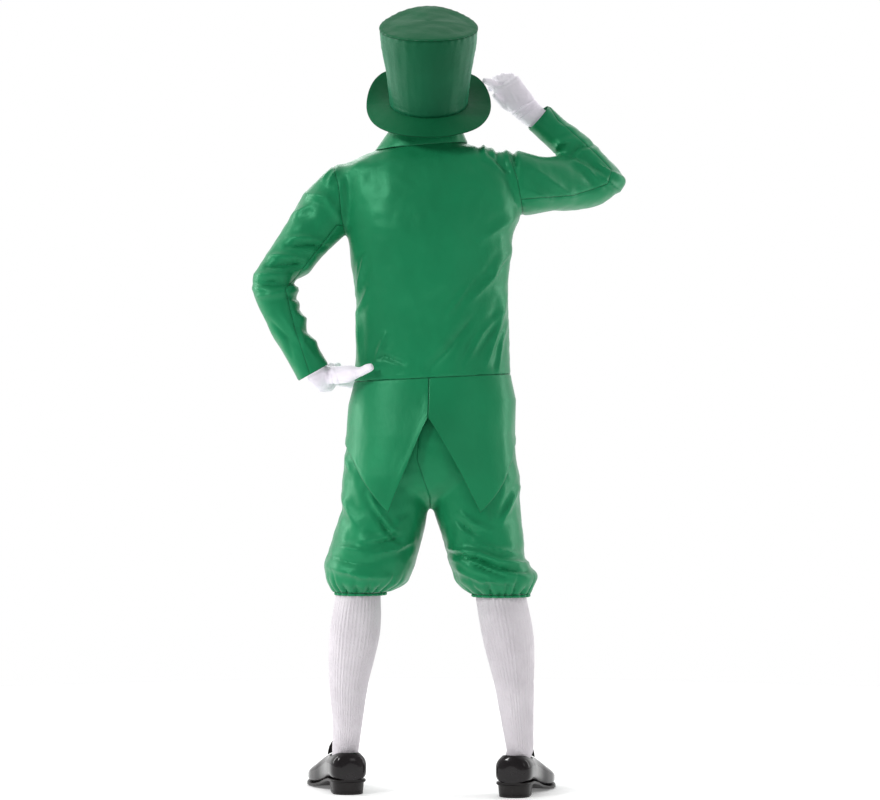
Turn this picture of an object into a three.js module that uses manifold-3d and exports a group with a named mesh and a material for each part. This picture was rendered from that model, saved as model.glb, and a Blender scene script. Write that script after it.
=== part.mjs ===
// Leprechaun costume: tall hat, tailcoat, knee breeches, gloves, ribbed stockings and flapped shoes, hollow and
// open as they are worn, one arm bent with its glove at the hip and the other raised to the hat's brim.
// Millimetres, +Z up. The wearer would face -Y, and +X is the left side of the garment. Heights in the tables are
// above the floor, and the whole group is lowered at the end so that the origin lies between the shoulders.
import * as THREE from 'three';
import { mergeVertices } from 'three/addons/utils/BufferGeometryUtils.js';
import Module from 'manifold-3d';

const wasm = await Module();
wasm.setup();

// Driving sizes
const HOLD_HEIGHT = 1500; // floor to the middle of the shoulders, where the wearer carries the coat
const SEAM_GAP = 0.3;
const REST_GAP = 0.6; // between a piece and the curved one that it lies on
const COAT_WALL = 2.0;
const BREECHES_WALL = 1.8;
const GLOVE_WALL = 1.4;
const STOCKING_WALL = 1.5;
const SHOE_WALL = 2.2;
const HAT_WALL = 3.0;
const OPEN_END = 9; // how far a hollow runs on past an open end, so that the end is cut clean
const FAR = 900; // beyond the whole garment, for the bodies that cut panels

const COAT_SIDES = 28;
const SLEEVE_SIDES = 12;
const HIP_SIDES = 20;
const LEG_SIDES = 28; // every second corner is a gather, so 14 gathers round each knee
const STOCKING_RIBS = 12;
const RIB_HEIGHT = 0.9;
const FINGER_SIDES = 6;
const PALM_SIDES = 10;
const HAT_SIDES = 36; // 18 puckers under the seam of the tip
const SHOE_SIDES = 12;
const MOUTH_SIDES = 16;

// Tubes of cloth. A row is one section: its two edges as seen from behind (x and z of each), where it lies in
// depth (y) and half its depth.
const COAT_BODY = [
  // left x, left z, right x, right z, y, half depth
  [178, 959, -189, 977, 0, 119],
  [174, 1020, -187, 1030, 0, 118],
  [174, 1074, -185, 1078, 1, 119],
  [174, 1149, -182, 1152, 4, 122],
  [188, 1247, -189, 1247, 7, 127],
  [194, 1301, -196, 1301, 9, 128],
  [204, 1350, -210, 1356, 10, 122],
  [211, 1400, -208, 1424, 10, 110],
  [216, 1442, -192, 1484, 8, 90],
  [170, 1474, -152, 1502, 6, 80],
  [122, 1497, -106, 1509, 4, 75],
  [76, 1517, -71, 1521, 1, 68],
];
const LEFT_SLEEVE = [
  // inner x, inner z, outer x, outer z, y, half depth
  [150, 1340, 150, 1440, 6, 50],
  [196, 1302, 222, 1456, 6, 70],
  [239, 1262, 291, 1400, 12, 68],
  [257, 1243, 319, 1355, 22, 62],
  [283, 1209, 353, 1298, 38, 58],
  [307, 1197, 392, 1236, 53, 56],
  [311, 1176, 413, 1176, 67, 55],
  [291, 1106, 374, 1082, 66, 48],
  [269, 1058, 339, 1020, 62, 44],
  [238, 1001, 304, 958, 60, 41],
];
const RIGHT_SLEEVE = [
  // upper x, upper z, lower x, lower z, y, half depth
  [-130, 1468, -140, 1375, 4, 50],
  [-190, 1499, -216, 1351, 0, 70],
  [-254, 1486, -300, 1362, -32, 65],
  [-297, 1489, -397, 1377, -78, 60],
  [-301, 1498, -464, 1428, -100, 60],
  [-289, 1507, -426, 1484, -98, 57],
  [-267, 1526, -376, 1535, -93, 51],
  [-243, 1547, -324, 1575, -86, 45],
  [-222, 1566, -288, 1604, -80, 40],
];
const HIPS = [
  // left x, left z, right x, right z, y, half depth
  [150, 1042, -156, 1048, 0, 102],
  [168, 962, -178, 968, 0, 110],
  [184, 912, -194, 912, 2, 117],
  [191, 835, -198, 835, 5, 124],
  [196, 762, -201, 762, 6, 117],
  [186, 715, -190, 715, 4, 104],
  [120, 680, -120, 680, 2, 66],
  [56, 664, -56, 664, 2, 34],
];
const LEFT_LEG = [
  // outer x, outer z, inner x, inner z, y, half depth
  [172, 860, 14, 860, 4, 92],
  [192, 800, 4, 800, 5, 100],
  [206, 740, -1, 740, 5, 106],
  [208, 668, 4, 668, 5, 107],
  [228, 594, 18, 594, 9, 107],
  [244, 545, 31, 545, 13, 108],
  [245, 515, 42, 515, 16, 104],
  [238, 488, 56, 488, 19, 92],
  [224, 469, 100, 469, 22, 64],
];
const RIGHT_LEG = [
  // inner x, inner z, outer x, outer z, y, half depth
  [-14, 860, -176, 860, 4, 92],
  [-4, 800, -196, 800, 5, 100],
  [-2, 740, -208, 740, 6, 106],
  [-8, 668, -210, 668, 12, 107],
  [-29, 596, -218, 596, 22, 107],
  [-42, 545, -222, 545, 29, 108],
  [-52, 516, -250, 512, 35, 104],
  [-64, 490, -246, 488, 40, 90],
  [-96, 466, -234, 466, 45, 64],
];
const LEFT_STOCKING = [
  // outer x, outer z, inner x, inner z, y, half depth
  [217, 500, 116, 500, 21, 57],
  [219, 462, 115, 462, 22, 59],
  [234, 370, 117, 370, 30, 60],
  [237, 258, 145, 258, 32, 52],
  [233, 170, 163, 170, 26, 41],
  [235, 104, 173, 104, 17, 36],
  [236, 60, 178, 60, 14, 34],
];
const RIGHT_STOCKING = [
  // inner x, inner z, outer x, outer z, y, half depth
  [-109, 500, -223, 500, 43, 56.5],
  [-107, 460, -224, 460, 44.6, 58.8],
  [-122, 364, -241, 364, 60, 61],
  [-149, 258, -241, 258, 73, 52],
  [-166, 170, -240, 170, 79, 41],
  [-178, 104, -240, 104, 77, 36],
  [-182, 60, -240, 60, 75, 34],
];

// Folds of the cloth. A row is one soft ridge, or trough where its height is negative: the side it is on
// (1 back, -1 front, 0 both), its two ends as seen from behind, how far it spreads and how high it stands.
const COAT_FOLDS = [
  // side, from x, from z, to x, to z, spread, height
  [1, -205, 1346, -120, 1288, 20, 4],
  [1, -192, 1271, -149, 1203, 20, 5],
  [1, -149, 1203, -88, 1139, 20, 4],
  [1, -179, 1160, -128, 988, 22, 4],
  [1, -110, 1118, 1, 988, 24, -4],
  [1, -179, 1246, -150, 1200, 16, -4],
  [1, 154, 1246, 173, 1155, 20, 4],
  [1, 151, 1155, 165, 1002, 20, 3],
  [1, 130, 1002, 87, 1074, 18, 4],
  [1, 130, 1009, 61, 1002, 16, -3],
  [-1, -200, 1330, -90, 1240, 24, 4],
  [-1, 190, 1290, 100, 1200, 24, 4],
  [-1, -170, 1140, -60, 1010, 24, -3],
  [-1, 165, 1120, 70, 1000, 22, 4],
];
const LEFT_SLEEVE_FOLDS = [
  [0, 290, 1397, 241, 1385, 18, 4],
  [0, 241, 1385, 209, 1337, 18, 3],
  [0, 327, 1272, 241, 1274, 18, -5],
  [0, 367, 1227, 292, 1230, 16, 5],
  [0, 409, 1182, 316, 1182, 16, -5],
  [0, 385, 1150, 318, 1190, 15, 4],
  [0, 339, 1150, 282, 990, 14, 3],
];
const RIGHT_SLEEVE_FOLDS = [
  [0, -290, 1494, -332, 1520, 16, 5],
  [0, -323, 1478, -381, 1511, 16, -5],
  [0, -326, 1473, -397, 1415, 16, 5],
  [0, -392, 1435, -444, 1403, 16, 4],
  [0, -195, 1462, -203, 1400, 15, -4],
  [0, -240, 1455, -330, 1395, 18, 4],
];
const BREECHES_FOLDS = [
  [0, -49, 563, -222, 528, 20, 6],
  [0, -79, 542, -207, 505, 16, -4],
  [0, -207, 712, -165, 631, 18, 5],
  [0, -54, 628, -88, 560, 18, 5],
  [0, -140, 690, -120, 580, 24, -5],
  [0, 197, 793, 186, 744, 18, 4],
  [0, 204, 693, 150, 600, 20, 5],
  [0, 209, 575, 120, 560, 18, 5],
  [0, 121, 575, 60, 610, 18, -5],
  [0, 90, 690, 105, 590, 22, -4],
  [0, 235, 530, 90, 505, 18, 5],
];

// Seams that cut a tube into its panels, as lines seen from behind (x, z) or from the side (y, z)
const LEFT_ARMHOLE = [[236, 1520], [222, 1456], [211, 1407], [206, 1351], [197, 1302], [213, 1268], [213, 900]];
const RIGHT_ARMHOLE = [[-168, 1640], [-178, 1506], [-202, 1433], [-217, 1351], [-219, 1200]];
const LEFT_SLEEVE_SEAM = [[150, 1320], [215, 1322], [290, 1226], [333, 1172], [311, 1080], [282, 990], [262, 930]];
const RIGHT_SLEEVE_SEAM = [
  [-120, 1375], [-230, 1383], [-335, 1394], [-418, 1424], [-428, 1458], [-392, 1496], [-300, 1577], [-262, 1640],
];
const FRONT_EDGE_X = -14; // the left front laps the middle, as on a coat that buttons left over right
const CENTRE_SEAM = [[-3, 1100], [6, 960], [26, 850], [30, 780], [0, 690], [0, 400]];
const LEFT_LEG_SEAM = [[0, 1100], [2, 912], [5, 700], [9, 594], [16, 515], [22, 400]];
const RIGHT_LEG_SEAM = [[0, 1100], [2, 912], [10, 700], [22, 596], [35, 514], [45, 400]];
const WAISTBAND_BOTTOM = 1006;
const GATHERED_SECTIONS = 5; // how many of a leg's last sections the gathers run over
const GATHER_HEIGHT = 2.2;
const CASING_HEIGHT = 9; // the narrow band with the elastic, below each leg
const CASING_SIDES = 28;
const CASING_PUCKER = 0.8;

// Tails, cut on the form of the coat's skirt. The lower edge gives a height at each angle round the waist, 0 at
// the left side, 90 at the middle of the back and 180 at the right side.
const SKIRT = [
  // left x, left z, right x, right z, y, half depth
  [178, 959, -189, 977, 0, 119],
  [190.6, 908, -202, 914, 2, 127],
  [196, 835, -200.2, 837, 5, 138],
  [210, 740, -215, 740, 8, 147],
  [218, 640, -225, 640, 9, 149],
];
const LEFT_TAIL_EDGE = [
  // degrees, height of the lower edge
  [88.2, 876],
  [77, 768],
  [64, 658],
  [50, 714],
  [32, 772],
  [14, 806],
  [-4, 824],
  [-24, 880],
  [-44, 946],
];
const RIGHT_TAIL_EDGE = [
  [88.5, 876],
  [104.5, 768],
  [121, 658],
  [134, 706],
  [150, 765],
  [166, 806],
  [184, 826],
  [204, 884],
  [224, 958],
];
const TAIL_ROWS = 4;

// Collar: how far each line of it stands out from the neck and above it, from the seam, over the roll, to the
// edge of the fall
const COLLAR_LINES = [
  // share of the way out from the neck to the shoulder ring, rise above the coat
  [0.0, 1.0],
  [0.06, 24],
  [0.26, 40],
  [0.74, 26],
  [1.08, 12],
];
const COLLAR_LEAN = 0.55; // how much less of it there is at the right side, where the arm is raised
const COLLAR_FRONT_GAP = 7; // degrees between the middle of the front and each end of the collar
const COLLAR_STEPS = 22;

// Hat, in its own frame: u to the left, v to the back, w up through the crown
const HAT_BASE = new THREE.Vector3(3, -5, 1613);
const HAT_TILT = 24.5; // degrees that the crown leans back
const CROWN = [
  // height, half width, half depth
  [0, 92, 110],
  [70, 100, 117],
  [140, 110.5, 127],
  [194, 115, 131],
];
const CROWN_PUCKER = 0.9; // height of the puckers at the tip's seam
const TIP_RISE = 4.5; // rise of the flat top towards its middle
const TIP_EDGE = 1.6; // height of the tip's rounded edge
const TOP_SAG = 11; // how far the soft top sinks at its two front corners
const BRIM_HALF_WIDTH = 146;
const BRIM_HALF_DEPTH = 166;
const BRIM_LINES = [0, 0.1, 0.5, 1]; // shares of the way from the crown to the brim's edge
const BRIM_SEAT = 0.08; // share of the brim that stays flat at the crown's seam
const BRIM_LIFT_LEFT = 40; // rise of the brim's edge between the left side and the front
const BRIM_LIFT_RIGHT = 30; // and between the right side, where the fingers hold it, and the front
const BRIM_DROOP = 25; // fall of its edge at the back
const BRIM_SIDE_FALL = 6; // and at each side

// Gloves. The palm's rows are sections as above, and a finger is a row of points with a radius.
const PALM_POWER = 2.4; // a palm is squarer than a finger
const LEFT_PALM = [
  // upper x, upper z, lower x, lower z, y, half depth
  [256.2, 1007.8, 292, 985, 61, 21],
  [246.1, 992.8, 284, 966, 59, 21],
  [236.6, 988.2, 274, 948, 50, 22],
  [224.2, 1003, 256, 934, 22, 18],
  [214, 1004, 236, 937, -26, 14],
];
const LEFT_FINGERS = [
  // points of x, y, z and radius, from the palm to the tip
  [[224, -14, 992, 11], [215, -58, 992, 11], [180, -110, 988, 10], [150, -126, 985, 7]],
  [[226, -14, 977, 11], [215, -60, 976, 11], [176, -116, 972, 10], [142, -132, 970, 7]],
  [[228, -14, 963, 11], [217, -60, 961, 10.5], [181, -115, 957, 10], [150, -132, 955, 7]],
  [[229, -12, 951, 10], [219, -52, 949, 9.5], [195, -99, 944, 9], [174, -119, 942, 6]],
  [[246.4, 36, 976, 16], [200, 78, 971, 15], [166, 97, 979, 11], [134, 112, 993, 6]],
];
const RIGHT_PALM = [
  // upper x, upper z, lower x, lower z, y, half depth
  [-246.7, 1555.7, -290, 1583, -81, 23],
  [-212.5, 1574.3, -262, 1611, -80, 27],
  [-170, 1616, -232, 1650, -86, 19],
  [-148, 1646, -208, 1684, -92, 15],
];
const RIGHT_FINGERS = [
  [[-163, -90, 1648, 11], [-153, -92, 1659, 10.5], [-141, -84, 1667, 9.5], [-125.5, -72.3, 1669.1, 7]],
  [[-171, -92, 1660, 11], [-160, -114, 1676, 11], [-148, -138, 1671, 9.5], [-142, -152, 1652, 6]],
  [[-185, -92, 1664, 11], [-175, -115, 1683, 11], [-165, -140, 1678, 9.5], [-159, -154, 1657, 6]],
  [[-199, -92, 1666, 10], [-191, -112, 1684, 9.5], [-183, -134, 1678, 8.5], [-178, -148, 1660, 6]],
  [[-206, -84, 1606, 14], [-182, -86, 1611, 11.5], [-163, -76, 1626, 9], [-150, -64, 1637, 6]],
];

// Shoes, in their own frame: s from the back of the heel to the toe, t across, z up
const SHOE_SPLAY = 15; // degrees that each toe turns out
const SHOES = [
  { side: 'left', heelX: 192, heelY: 72, turn: 1 },
  { side: 'right', heelX: -196, heelY: 133, turn: -1 },
];
const SHOE_FORM = [
  // s, half width, underside, top
  [1, 18, 34.2, 84],
  [7, 31, 34.1, 96],
  [24, 38, 34, 101],
  [64, 39, 33, 97],
  [104, 39, 26, 90],
  [140, 42, 16, 84],
  [176, 48, 9, 70],
  [212, 51, 7, 56],
  [245, 46, 8, 46],
  [270, 34, 10, 38],
  [284, 18, 13, 31],
];
const SOCK_ROOM = 1.0; // between the shoe's inside and the stocking's foot
const FOOT_POWER = 2.6;
const MOUTH_POWER = 2.3;
const SHOE_MOUTH = { start: 8, end: 112, halfWidth: 33.5, floor: 62, top: 140 };
const SOLE_THICKNESS = 5;
const SOLE_LIP = 3; // how far the sole stands out round the upper
const SOLE_SHARES = [-1, -0.8, 0, 0.8, 1];
// foot is the heel's size on the floor and breast that of its straight front edge, as shares of its full size,
// and roundShare is how much of its length is round
const HEEL = { start: -2, length: 74, halfWidth: 38, foot: 0.94, breast: 0.9, roundShare: 0.45, roundSteps: 8 };
// lean and wrap are how far the flap's top leans back and its sides bend back, and fall how far its sides drop
const FLAP = { s: 118, halfWidth: 30, foot: 91, top: 121, lean: 8, wrap: 8, fall: 6.5, narrowing: 0.12, wall: 2.4 };
const FLAP_SHARES = [-1, -0.6, 0, 0.6, 1];

const BUTTON_RADIUS = 10;
const BUTTON_THICKNESS = 3.5;
const BUTTON_HEIGHTS = [1350, 1240, 1130, 1020];

// Colours
const GREEN = { color: 0x2a7a54, roughness: 0.6, metalness: 0 };
const SATIN = { color: 0x24704e, roughness: 0.4, metalness: 0 };
const WHITE = { color: 0xe6e2e8, roughness: 0.7, metalness: 0 };
const BLACK = { color: 0x17151a, roughness: 0.25, metalness: 0 };

const costume = new THREE.Group();

function addNode(name, geometry, finish) {
  const mesh = new THREE.Mesh(geometry, new THREE.MeshStandardMaterial(finish));
  mesh.name = name;
  costume.add(mesh);
}

// Geometry from a list of points and triangles, with its faces turned outward
function closedGeometry(points, triangles) {
  let volume = 0;
  for (const [a, b, c] of triangles) {
    volume += points[a].dot(points[b].clone().cross(points[c]));
  }
  const faces = volume < 0 ? triangles.map(([a, b, c]) => [a, c, b]) : triangles;
  const geometry = new THREE.BufferGeometry();
  const numbers = points.flatMap((point) => [point.x, point.y, point.z]);
  geometry.setAttribute('position', new THREE.Float32BufferAttribute(numbers, 3));
  geometry.setIndex(faces.flat());
  return geometry;
}

function solidFrom(geometry) {
  const bare = geometry.clone();
  bare.deleteAttribute('normal');
  bare.deleteAttribute('uv');
  const merged = mergeVertices(bare, 1e-4);
  const vertProperties = new Float32Array(merged.attributes.position.array);
  const triVerts = new Uint32Array(merged.index.array);
  return new wasm.Manifold(new wasm.Mesh({ numProp: 3, vertProperties, triVerts }));
}

// The largest body of a solid, as geometry: a cut can leave slivers beside the panel itself
function geometryFrom(solid) {
  const bodies = solid.decompose().sort((a, b) => b.volume() - a.volume());
  const mesh = bodies[0].getMesh();
  const geometry = new THREE.BufferGeometry();
  geometry.setAttribute('position', new THREE.BufferAttribute(new Float32Array(mesh.vertProperties), 3));
  geometry.setIndex(new THREE.BufferAttribute(new Uint32Array(mesh.triVerts), 1));
  return geometry;
}

// A smooth curve through the rows of a table, column by column, with a few steps from each row to the next
function smoothRows(rows, steps) {
  const result = [];
  for (let i = 0; i < rows.length - 1; i += 1) {
    const before = rows[Math.max(i - 1, 0)];
    const after = rows[Math.min(i + 2, rows.length - 1)];
    for (let step = 0; step < steps; step += 1) {
      const t = step / steps;
      result.push(rows[i].map((from, k) => {
        const to = rows[i + 1][k];
        const slopeIn = (to - before[k]) / 2;
        const slopeOut = (after[k] - from) / 2;
        const rise = to - from;
        const bend = t * (1 - t);
        return from + rise * t + bend * ((1 - t) * (slopeIn - rise) - t * (slopeOut - rise));
      }));
    }
  }
  result.push(rows[rows.length - 1]);
  return result;
}

// Sections from the rows of a table. Those of an upright form keep their depth level, and the others stand square
// to the way that the tube runs.
function sectionsFromEdges(rows, upright = false) {
  const centres = rows.map(([x1, z1, x2, z2, y]) => new THREE.Vector3((x1 + x2) / 2, y, (z1 + z2) / 2));
  let lastDepth = new THREE.Vector3(0, 1, 0);
  return rows.map(([x1, z1, x2, z2, , halfDepth], i) => {
    const along = centres[Math.min(i + 1, rows.length - 1)].clone().sub(centres[Math.max(i - 1, 0)]).normalize();
    const across = new THREE.Vector3((x1 - x2) / 2, 0, (z1 - z2) / 2);
    const square = upright ? new THREE.Vector3(0, 1, 0) : along.clone().cross(across).normalize();
    const depth = square.multiplyScalar(halfDepth);
    if (depth.dot(lastDepth) < 0) {
      depth.negate();
    }
    lastDepth = depth;
    return { centre: centres[i], along, across, depth };
  });
}

function sectionsAlongPoints(points) {
  const centres = points.map(([x, y, z]) => new THREE.Vector3(x, y, z));
  return points.map(([, , , radius], i) => {
    const along = centres[Math.min(i + 1, points.length - 1)].clone().sub(centres[Math.max(i - 1, 0)]).normalize();
    const across = new THREE.Vector3(0, 0, 1).cross(along).normalize().multiplyScalar(radius);
    const depth = along.clone().cross(across).normalize().multiplyScalar(radius);
    return { centre: centres[i], along, across, depth };
  });
}

const ROUNDNESS = 2.25; // a little squarer than an ellipse, as cloth over a body is

function rounded(value, power) {
  return Math.sign(value) * Math.abs(value) ** (2 / power);
}

// The point of a section at an angle, set in from its edge
function sectionPoint(section, angle, inset, power = ROUNDNESS) {
  const width = 1 - inset / section.across.length();
  const depth = 1 - inset / section.depth.length();
  return section.centre.clone()
    .addScaledVector(section.across, rounded(Math.cos(angle), power) * width)
    .addScaledVector(section.depth, rounded(Math.sin(angle), power) * depth);
}

function extended(sections, start, end) {
  const result = sections.slice();
  const first = sections[0];
  const last = sections[sections.length - 1];
  if (start > 0) {
    result.unshift({ ...first, centre: first.centre.clone().addScaledVector(first.along, -start) });
  }
  if (end > 0) {
    result.push({ ...last, centre: last.centre.clone().addScaledVector(last.along, end) });
  }
  return result;
}

// A closed tube through sections. relief(point, section number, side number) moves a point out along its section.
function loft(sections, sides, { inset = 0, power = ROUNDNESS, relief = null } = {}) {
  const points = [];
  const triangles = [];
  sections.forEach((section, i) => {
    for (let j = 0; j < sides; j += 1) {
      const angle = (2 * Math.PI * j) / sides;
      const point = sectionPoint(section, angle, inset, power);
      if (relief) {
        const outward = point.clone().sub(section.centre).normalize();
        point.addScaledVector(outward, relief(point, i, j));
      }
      points.push(point);
    }
  });
  for (let i = 0; i < sections.length - 1; i += 1) {
    for (let j = 0; j < sides; j += 1) {
      const here = i * sides + j;
      const beside = i * sides + ((j + 1) % sides);
      triangles.push([here, beside, beside + sides], [here, beside + sides, here + sides]);
    }
  }
  const firstCentre = points.push(sections[0].centre) - 1;
  const lastCentre = points.push(sections[sections.length - 1].centre) - 1;
  const lastRing = (sections.length - 1) * sides;
  for (let j = 0; j < sides; j += 1) {
    const beside = (j + 1) % sides;
    triangles.push([firstCentre, beside, j], [lastCentre, lastRing + j, lastRing + beside]);
  }
  return solidFrom(closedGeometry(points, triangles));
}

// How high the cloth stands at a point because of the folds near it
function foldHeight(point, folds) {
  let height = 0;
  for (const [side, fromX, fromZ, toX, toZ, spread, rise] of folds) {
    if (side * point.y >= 0) {
      const reachX = toX - fromX;
      const reachZ = toZ - fromZ;
      const along = ((point.x - fromX) * reachX + (point.z - fromZ) * reachZ) / (reachX ** 2 + reachZ ** 2);
      const t = Math.min(Math.max(along, 0), 1);
      const distance = Math.hypot(point.x - fromX - t * reachX, point.z - fromZ - t * reachZ);
      const fall = Math.max(0, 1 - (distance / (2 * spread)) ** 2) ** 2;
      height += rise * fall * (0.4 + 0.6 * Math.sin(Math.PI * t));
    }
  }
  return height;
}

function union(solids) {
  return solids.reduce((sum, solid) => sum.add(solid));
}

// A body with straight sides over a line, which runs through the whole garment along Y or X. It holds what lies
// on the side of the closing corners, and shift moves the line's edge to the left of its direction.
function curtain(line, corners, across, shift) {
  const moved = line.map(([u, v], i) => {
    const [beforeU, beforeV] = line[Math.max(i - 1, 0)];
    const [afterU, afterV] = line[Math.min(i + 1, line.length - 1)];
    const length = Math.hypot(afterU - beforeU, afterV - beforeV);
    return [u - (shift * (afterV - beforeV)) / length, v + (shift * (afterU - beforeU)) / length];
  });
  const outline = new THREE.Shape(moved.concat(corners).map(([u, v]) => new THREE.Vector2(u, v)));
  const geometry = new THREE.ExtrudeGeometry(outline, { depth: 2 * FAR, bevelEnabled: false });
  geometry.translate(0, 0, -FAR);
  const up = new THREE.Vector3(0, 0, 1);
  const sideways = across === 'x' ? new THREE.Vector3(1, 0, 0) : new THREE.Vector3(0, 1, 0);
  geometry.applyMatrix4(new THREE.Matrix4().makeBasis(sideways, up, sideways.clone().cross(up)));
  return solidFrom(geometry);
}

// Cuts a solid along a line into the part on the corners' side and the rest, with the seam's gap between them.
// turn is 1 where the corners lie to the left of the line's direction and -1 where they lie to its right.
function splitAlong(solid, line, corners, across, turn) {
  const inside = solid.intersect(curtain(line, corners, across, (turn * SEAM_GAP) / 2));
  const rest = solid.subtract(curtain(line, corners, across, (-turn * SEAM_GAP) / 2));
  return [inside, rest];
}

// A wall between two sheets of points, outer and inner, whose rows run round a closed ring or end at two edges
function wall(outer, inner, closedRound) {
  const rows = outer.length;
  const columns = outer[0].length;
  const points = outer.flat().concat(inner.flat());
  const triangles = [];
  const outerAt = (i, j) => (i % rows) * columns + j;
  const innerAt = (i, j) => rows * columns + outerAt(i, j);
  const quad = (a, b, c, d) => triangles.push([a, b, c], [a, c, d]);
  const lastRow = closedRound ? rows : rows - 1;
  for (let i = 0; i < lastRow; i += 1) {
    for (let j = 0; j < columns - 1; j += 1) {
      quad(outerAt(i, j), outerAt(i + 1, j), outerAt(i + 1, j + 1), outerAt(i, j + 1));
      quad(innerAt(i, j), innerAt(i, j + 1), innerAt(i + 1, j + 1), innerAt(i + 1, j));
    }
    quad(outerAt(i, 0), innerAt(i, 0), innerAt(i + 1, 0), outerAt(i + 1, 0));
    const edge = columns - 1;
    quad(outerAt(i, edge), outerAt(i + 1, edge), innerAt(i + 1, edge), innerAt(i, edge));
  }
  if (!closedRound) {
    for (let j = 0; j < columns - 1; j += 1) {
      quad(outerAt(0, j), outerAt(0, j + 1), innerAt(0, j + 1), innerAt(0, j));
      quad(outerAt(rows - 1, j), innerAt(rows - 1, j), innerAt(rows - 1, j + 1), outerAt(rows - 1, j + 1));
    }
  }
  return closedGeometry(points, triangles);
}

// The other face of a sheet of points, a thickness away along its normals
function offsetSheet(sheet, thickness, closedRound) {
  const rows = sheet.length;
  const columns = sheet[0].length;
  return sheet.map((row, i) => row.map((point, j) => {
    const before = closedRound ? (i + rows - 1) % rows : Math.max(i - 1, 0);
    const after = closedRound ? (i + 1) % rows : Math.min(i + 1, rows - 1);
    const along = sheet[after][j].clone().sub(sheet[before][j]);
    const across = row[Math.min(j + 1, columns - 1)].clone().sub(row[Math.max(j - 1, 0)]);
    return point.clone().addScaledVector(along.cross(across).normalize(), thickness);
  }));
}

// Coat body and sleeves: one hollow form, cut into its panels
const coatSections = sectionsFromEdges(COAT_BODY, true);

function coatForm(inset) {
  const reach = inset > 0 ? OPEN_END : 0;
  const reliefOf = (folds) => (point) => foldHeight(point, folds);
  const body = loft(extended(coatSections, reach, reach), COAT_SIDES, { inset, relief: reliefOf(COAT_FOLDS) });
  const left = sectionsFromEdges(LEFT_SLEEVE);
  const right = sectionsFromEdges(RIGHT_SLEEVE);
  return union([
    body,
    loft(extended(left, 0, reach), SLEEVE_SIDES, { inset, relief: reliefOf(LEFT_SLEEVE_FOLDS) }),
    loft(extended(right, 0, reach), SLEEVE_SIDES, { inset, relief: reliefOf(RIGHT_SLEEVE_FOLDS) }),
  ]);
}

function addCoat() {
  const shell = coatForm(0).subtract(coatForm(COAT_WALL));
  const leftCorners = [[FAR, 900], [FAR, 1520]];
  const rightCorners = [[-FAR, 1200], [-FAR, 1640]];
  const [leftSleeve, withoutLeft] = splitAlong(shell, LEFT_ARMHOLE, leftCorners, 'x', 1);
  const [rightSleeve, body] = splitAlong(withoutLeft, RIGHT_ARMHOLE, rightCorners, 'x', -1);
  const coronal = [[0, 0], [0, 2000]];
  const [back, front] = splitAlong(body, coronal, [[FAR, 2000], [FAR, 0]], 'y', -1);
  const frontEdge = [[FRONT_EDGE_X, 0], [FRONT_EDGE_X, 2000]];
  const [frontLeft, frontRight] = splitAlong(front, frontEdge, [[FAR, 2000], [FAR, 0]], 'x', -1);
  addNode('coat_back', geometryFrom(back), GREEN);
  addNode('coat_front_left', geometryFrom(frontLeft), GREEN);
  addNode('coat_front_right', geometryFrom(frontRight), GREEN);
  const [leftUnder, leftTop] = splitAlong(leftSleeve, LEFT_SLEEVE_SEAM, [[100, 930], [100, 1320]], 'x', -1);
  addNode('sleeve_left_top', geometryFrom(leftTop), GREEN);
  addNode('sleeve_left_under', geometryFrom(leftUnder), GREEN);
  const rightUnderCorners = [[-FAR, 1640], [-FAR, 1200], [-120, 1200]];
  const [rightUnder, rightTop] = splitAlong(rightSleeve, RIGHT_SLEEVE_SEAM, rightUnderCorners, 'x', 1);
  addNode('sleeve_right_top', geometryFrom(rightTop), GREEN);
  addNode('sleeve_right_under', geometryFrom(rightUnder), GREEN);
}

// The section of a tube at a height, between two of its rows
function sectionAtHeight(sections, height) {
  const rising = sections[sections.length - 1].centre.z > sections[0].centre.z;
  const ordered = rising ? sections : sections.slice().reverse();
  let k = 1;
  while (k < ordered.length - 1 && ordered[k].centre.z < height) {
    k += 1;
  }
  const low = ordered[k - 1];
  const high = ordered[k];
  const t = (height - low.centre.z) / (high.centre.z - low.centre.z);
  return {
    centre: low.centre.clone().lerp(high.centre, t),
    along: low.along,
    across: low.across.clone().lerp(high.across, t),
    depth: low.depth.clone().lerp(high.depth, t),
  };
}

// Tails: from the waist seam down to a slanting lower edge, one panel each side of the middle of the back
function addTail(name, edge) {
  const skirt = sectionsFromEdges(SKIRT, true);
  const columns = smoothRows(edge, 2);
  const sheetAt = (inset) => columns.map(([degrees, lowest]) => {
    const angle = (degrees * Math.PI) / 180;
    const top = sectionPoint(skirt[0], angle, inset);
    const row = [];
    for (let k = 0; k <= TAIL_ROWS; k += 1) {
      const t = k / TAIL_ROWS;
      const height = top.z - SEAM_GAP + (lowest - top.z) * t;
      const middle = skirt[0].centre.z - (skirt[0].centre.z - lowest) * t;
      const point = sectionPoint(sectionAtHeight(skirt, middle), angle, inset);
      point.z = height;
      row.push(point);
    }
    return row;
  });
  addNode(name, wall(sheetAt(0), sheetAt(COAT_WALL), false), GREEN);
}

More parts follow.
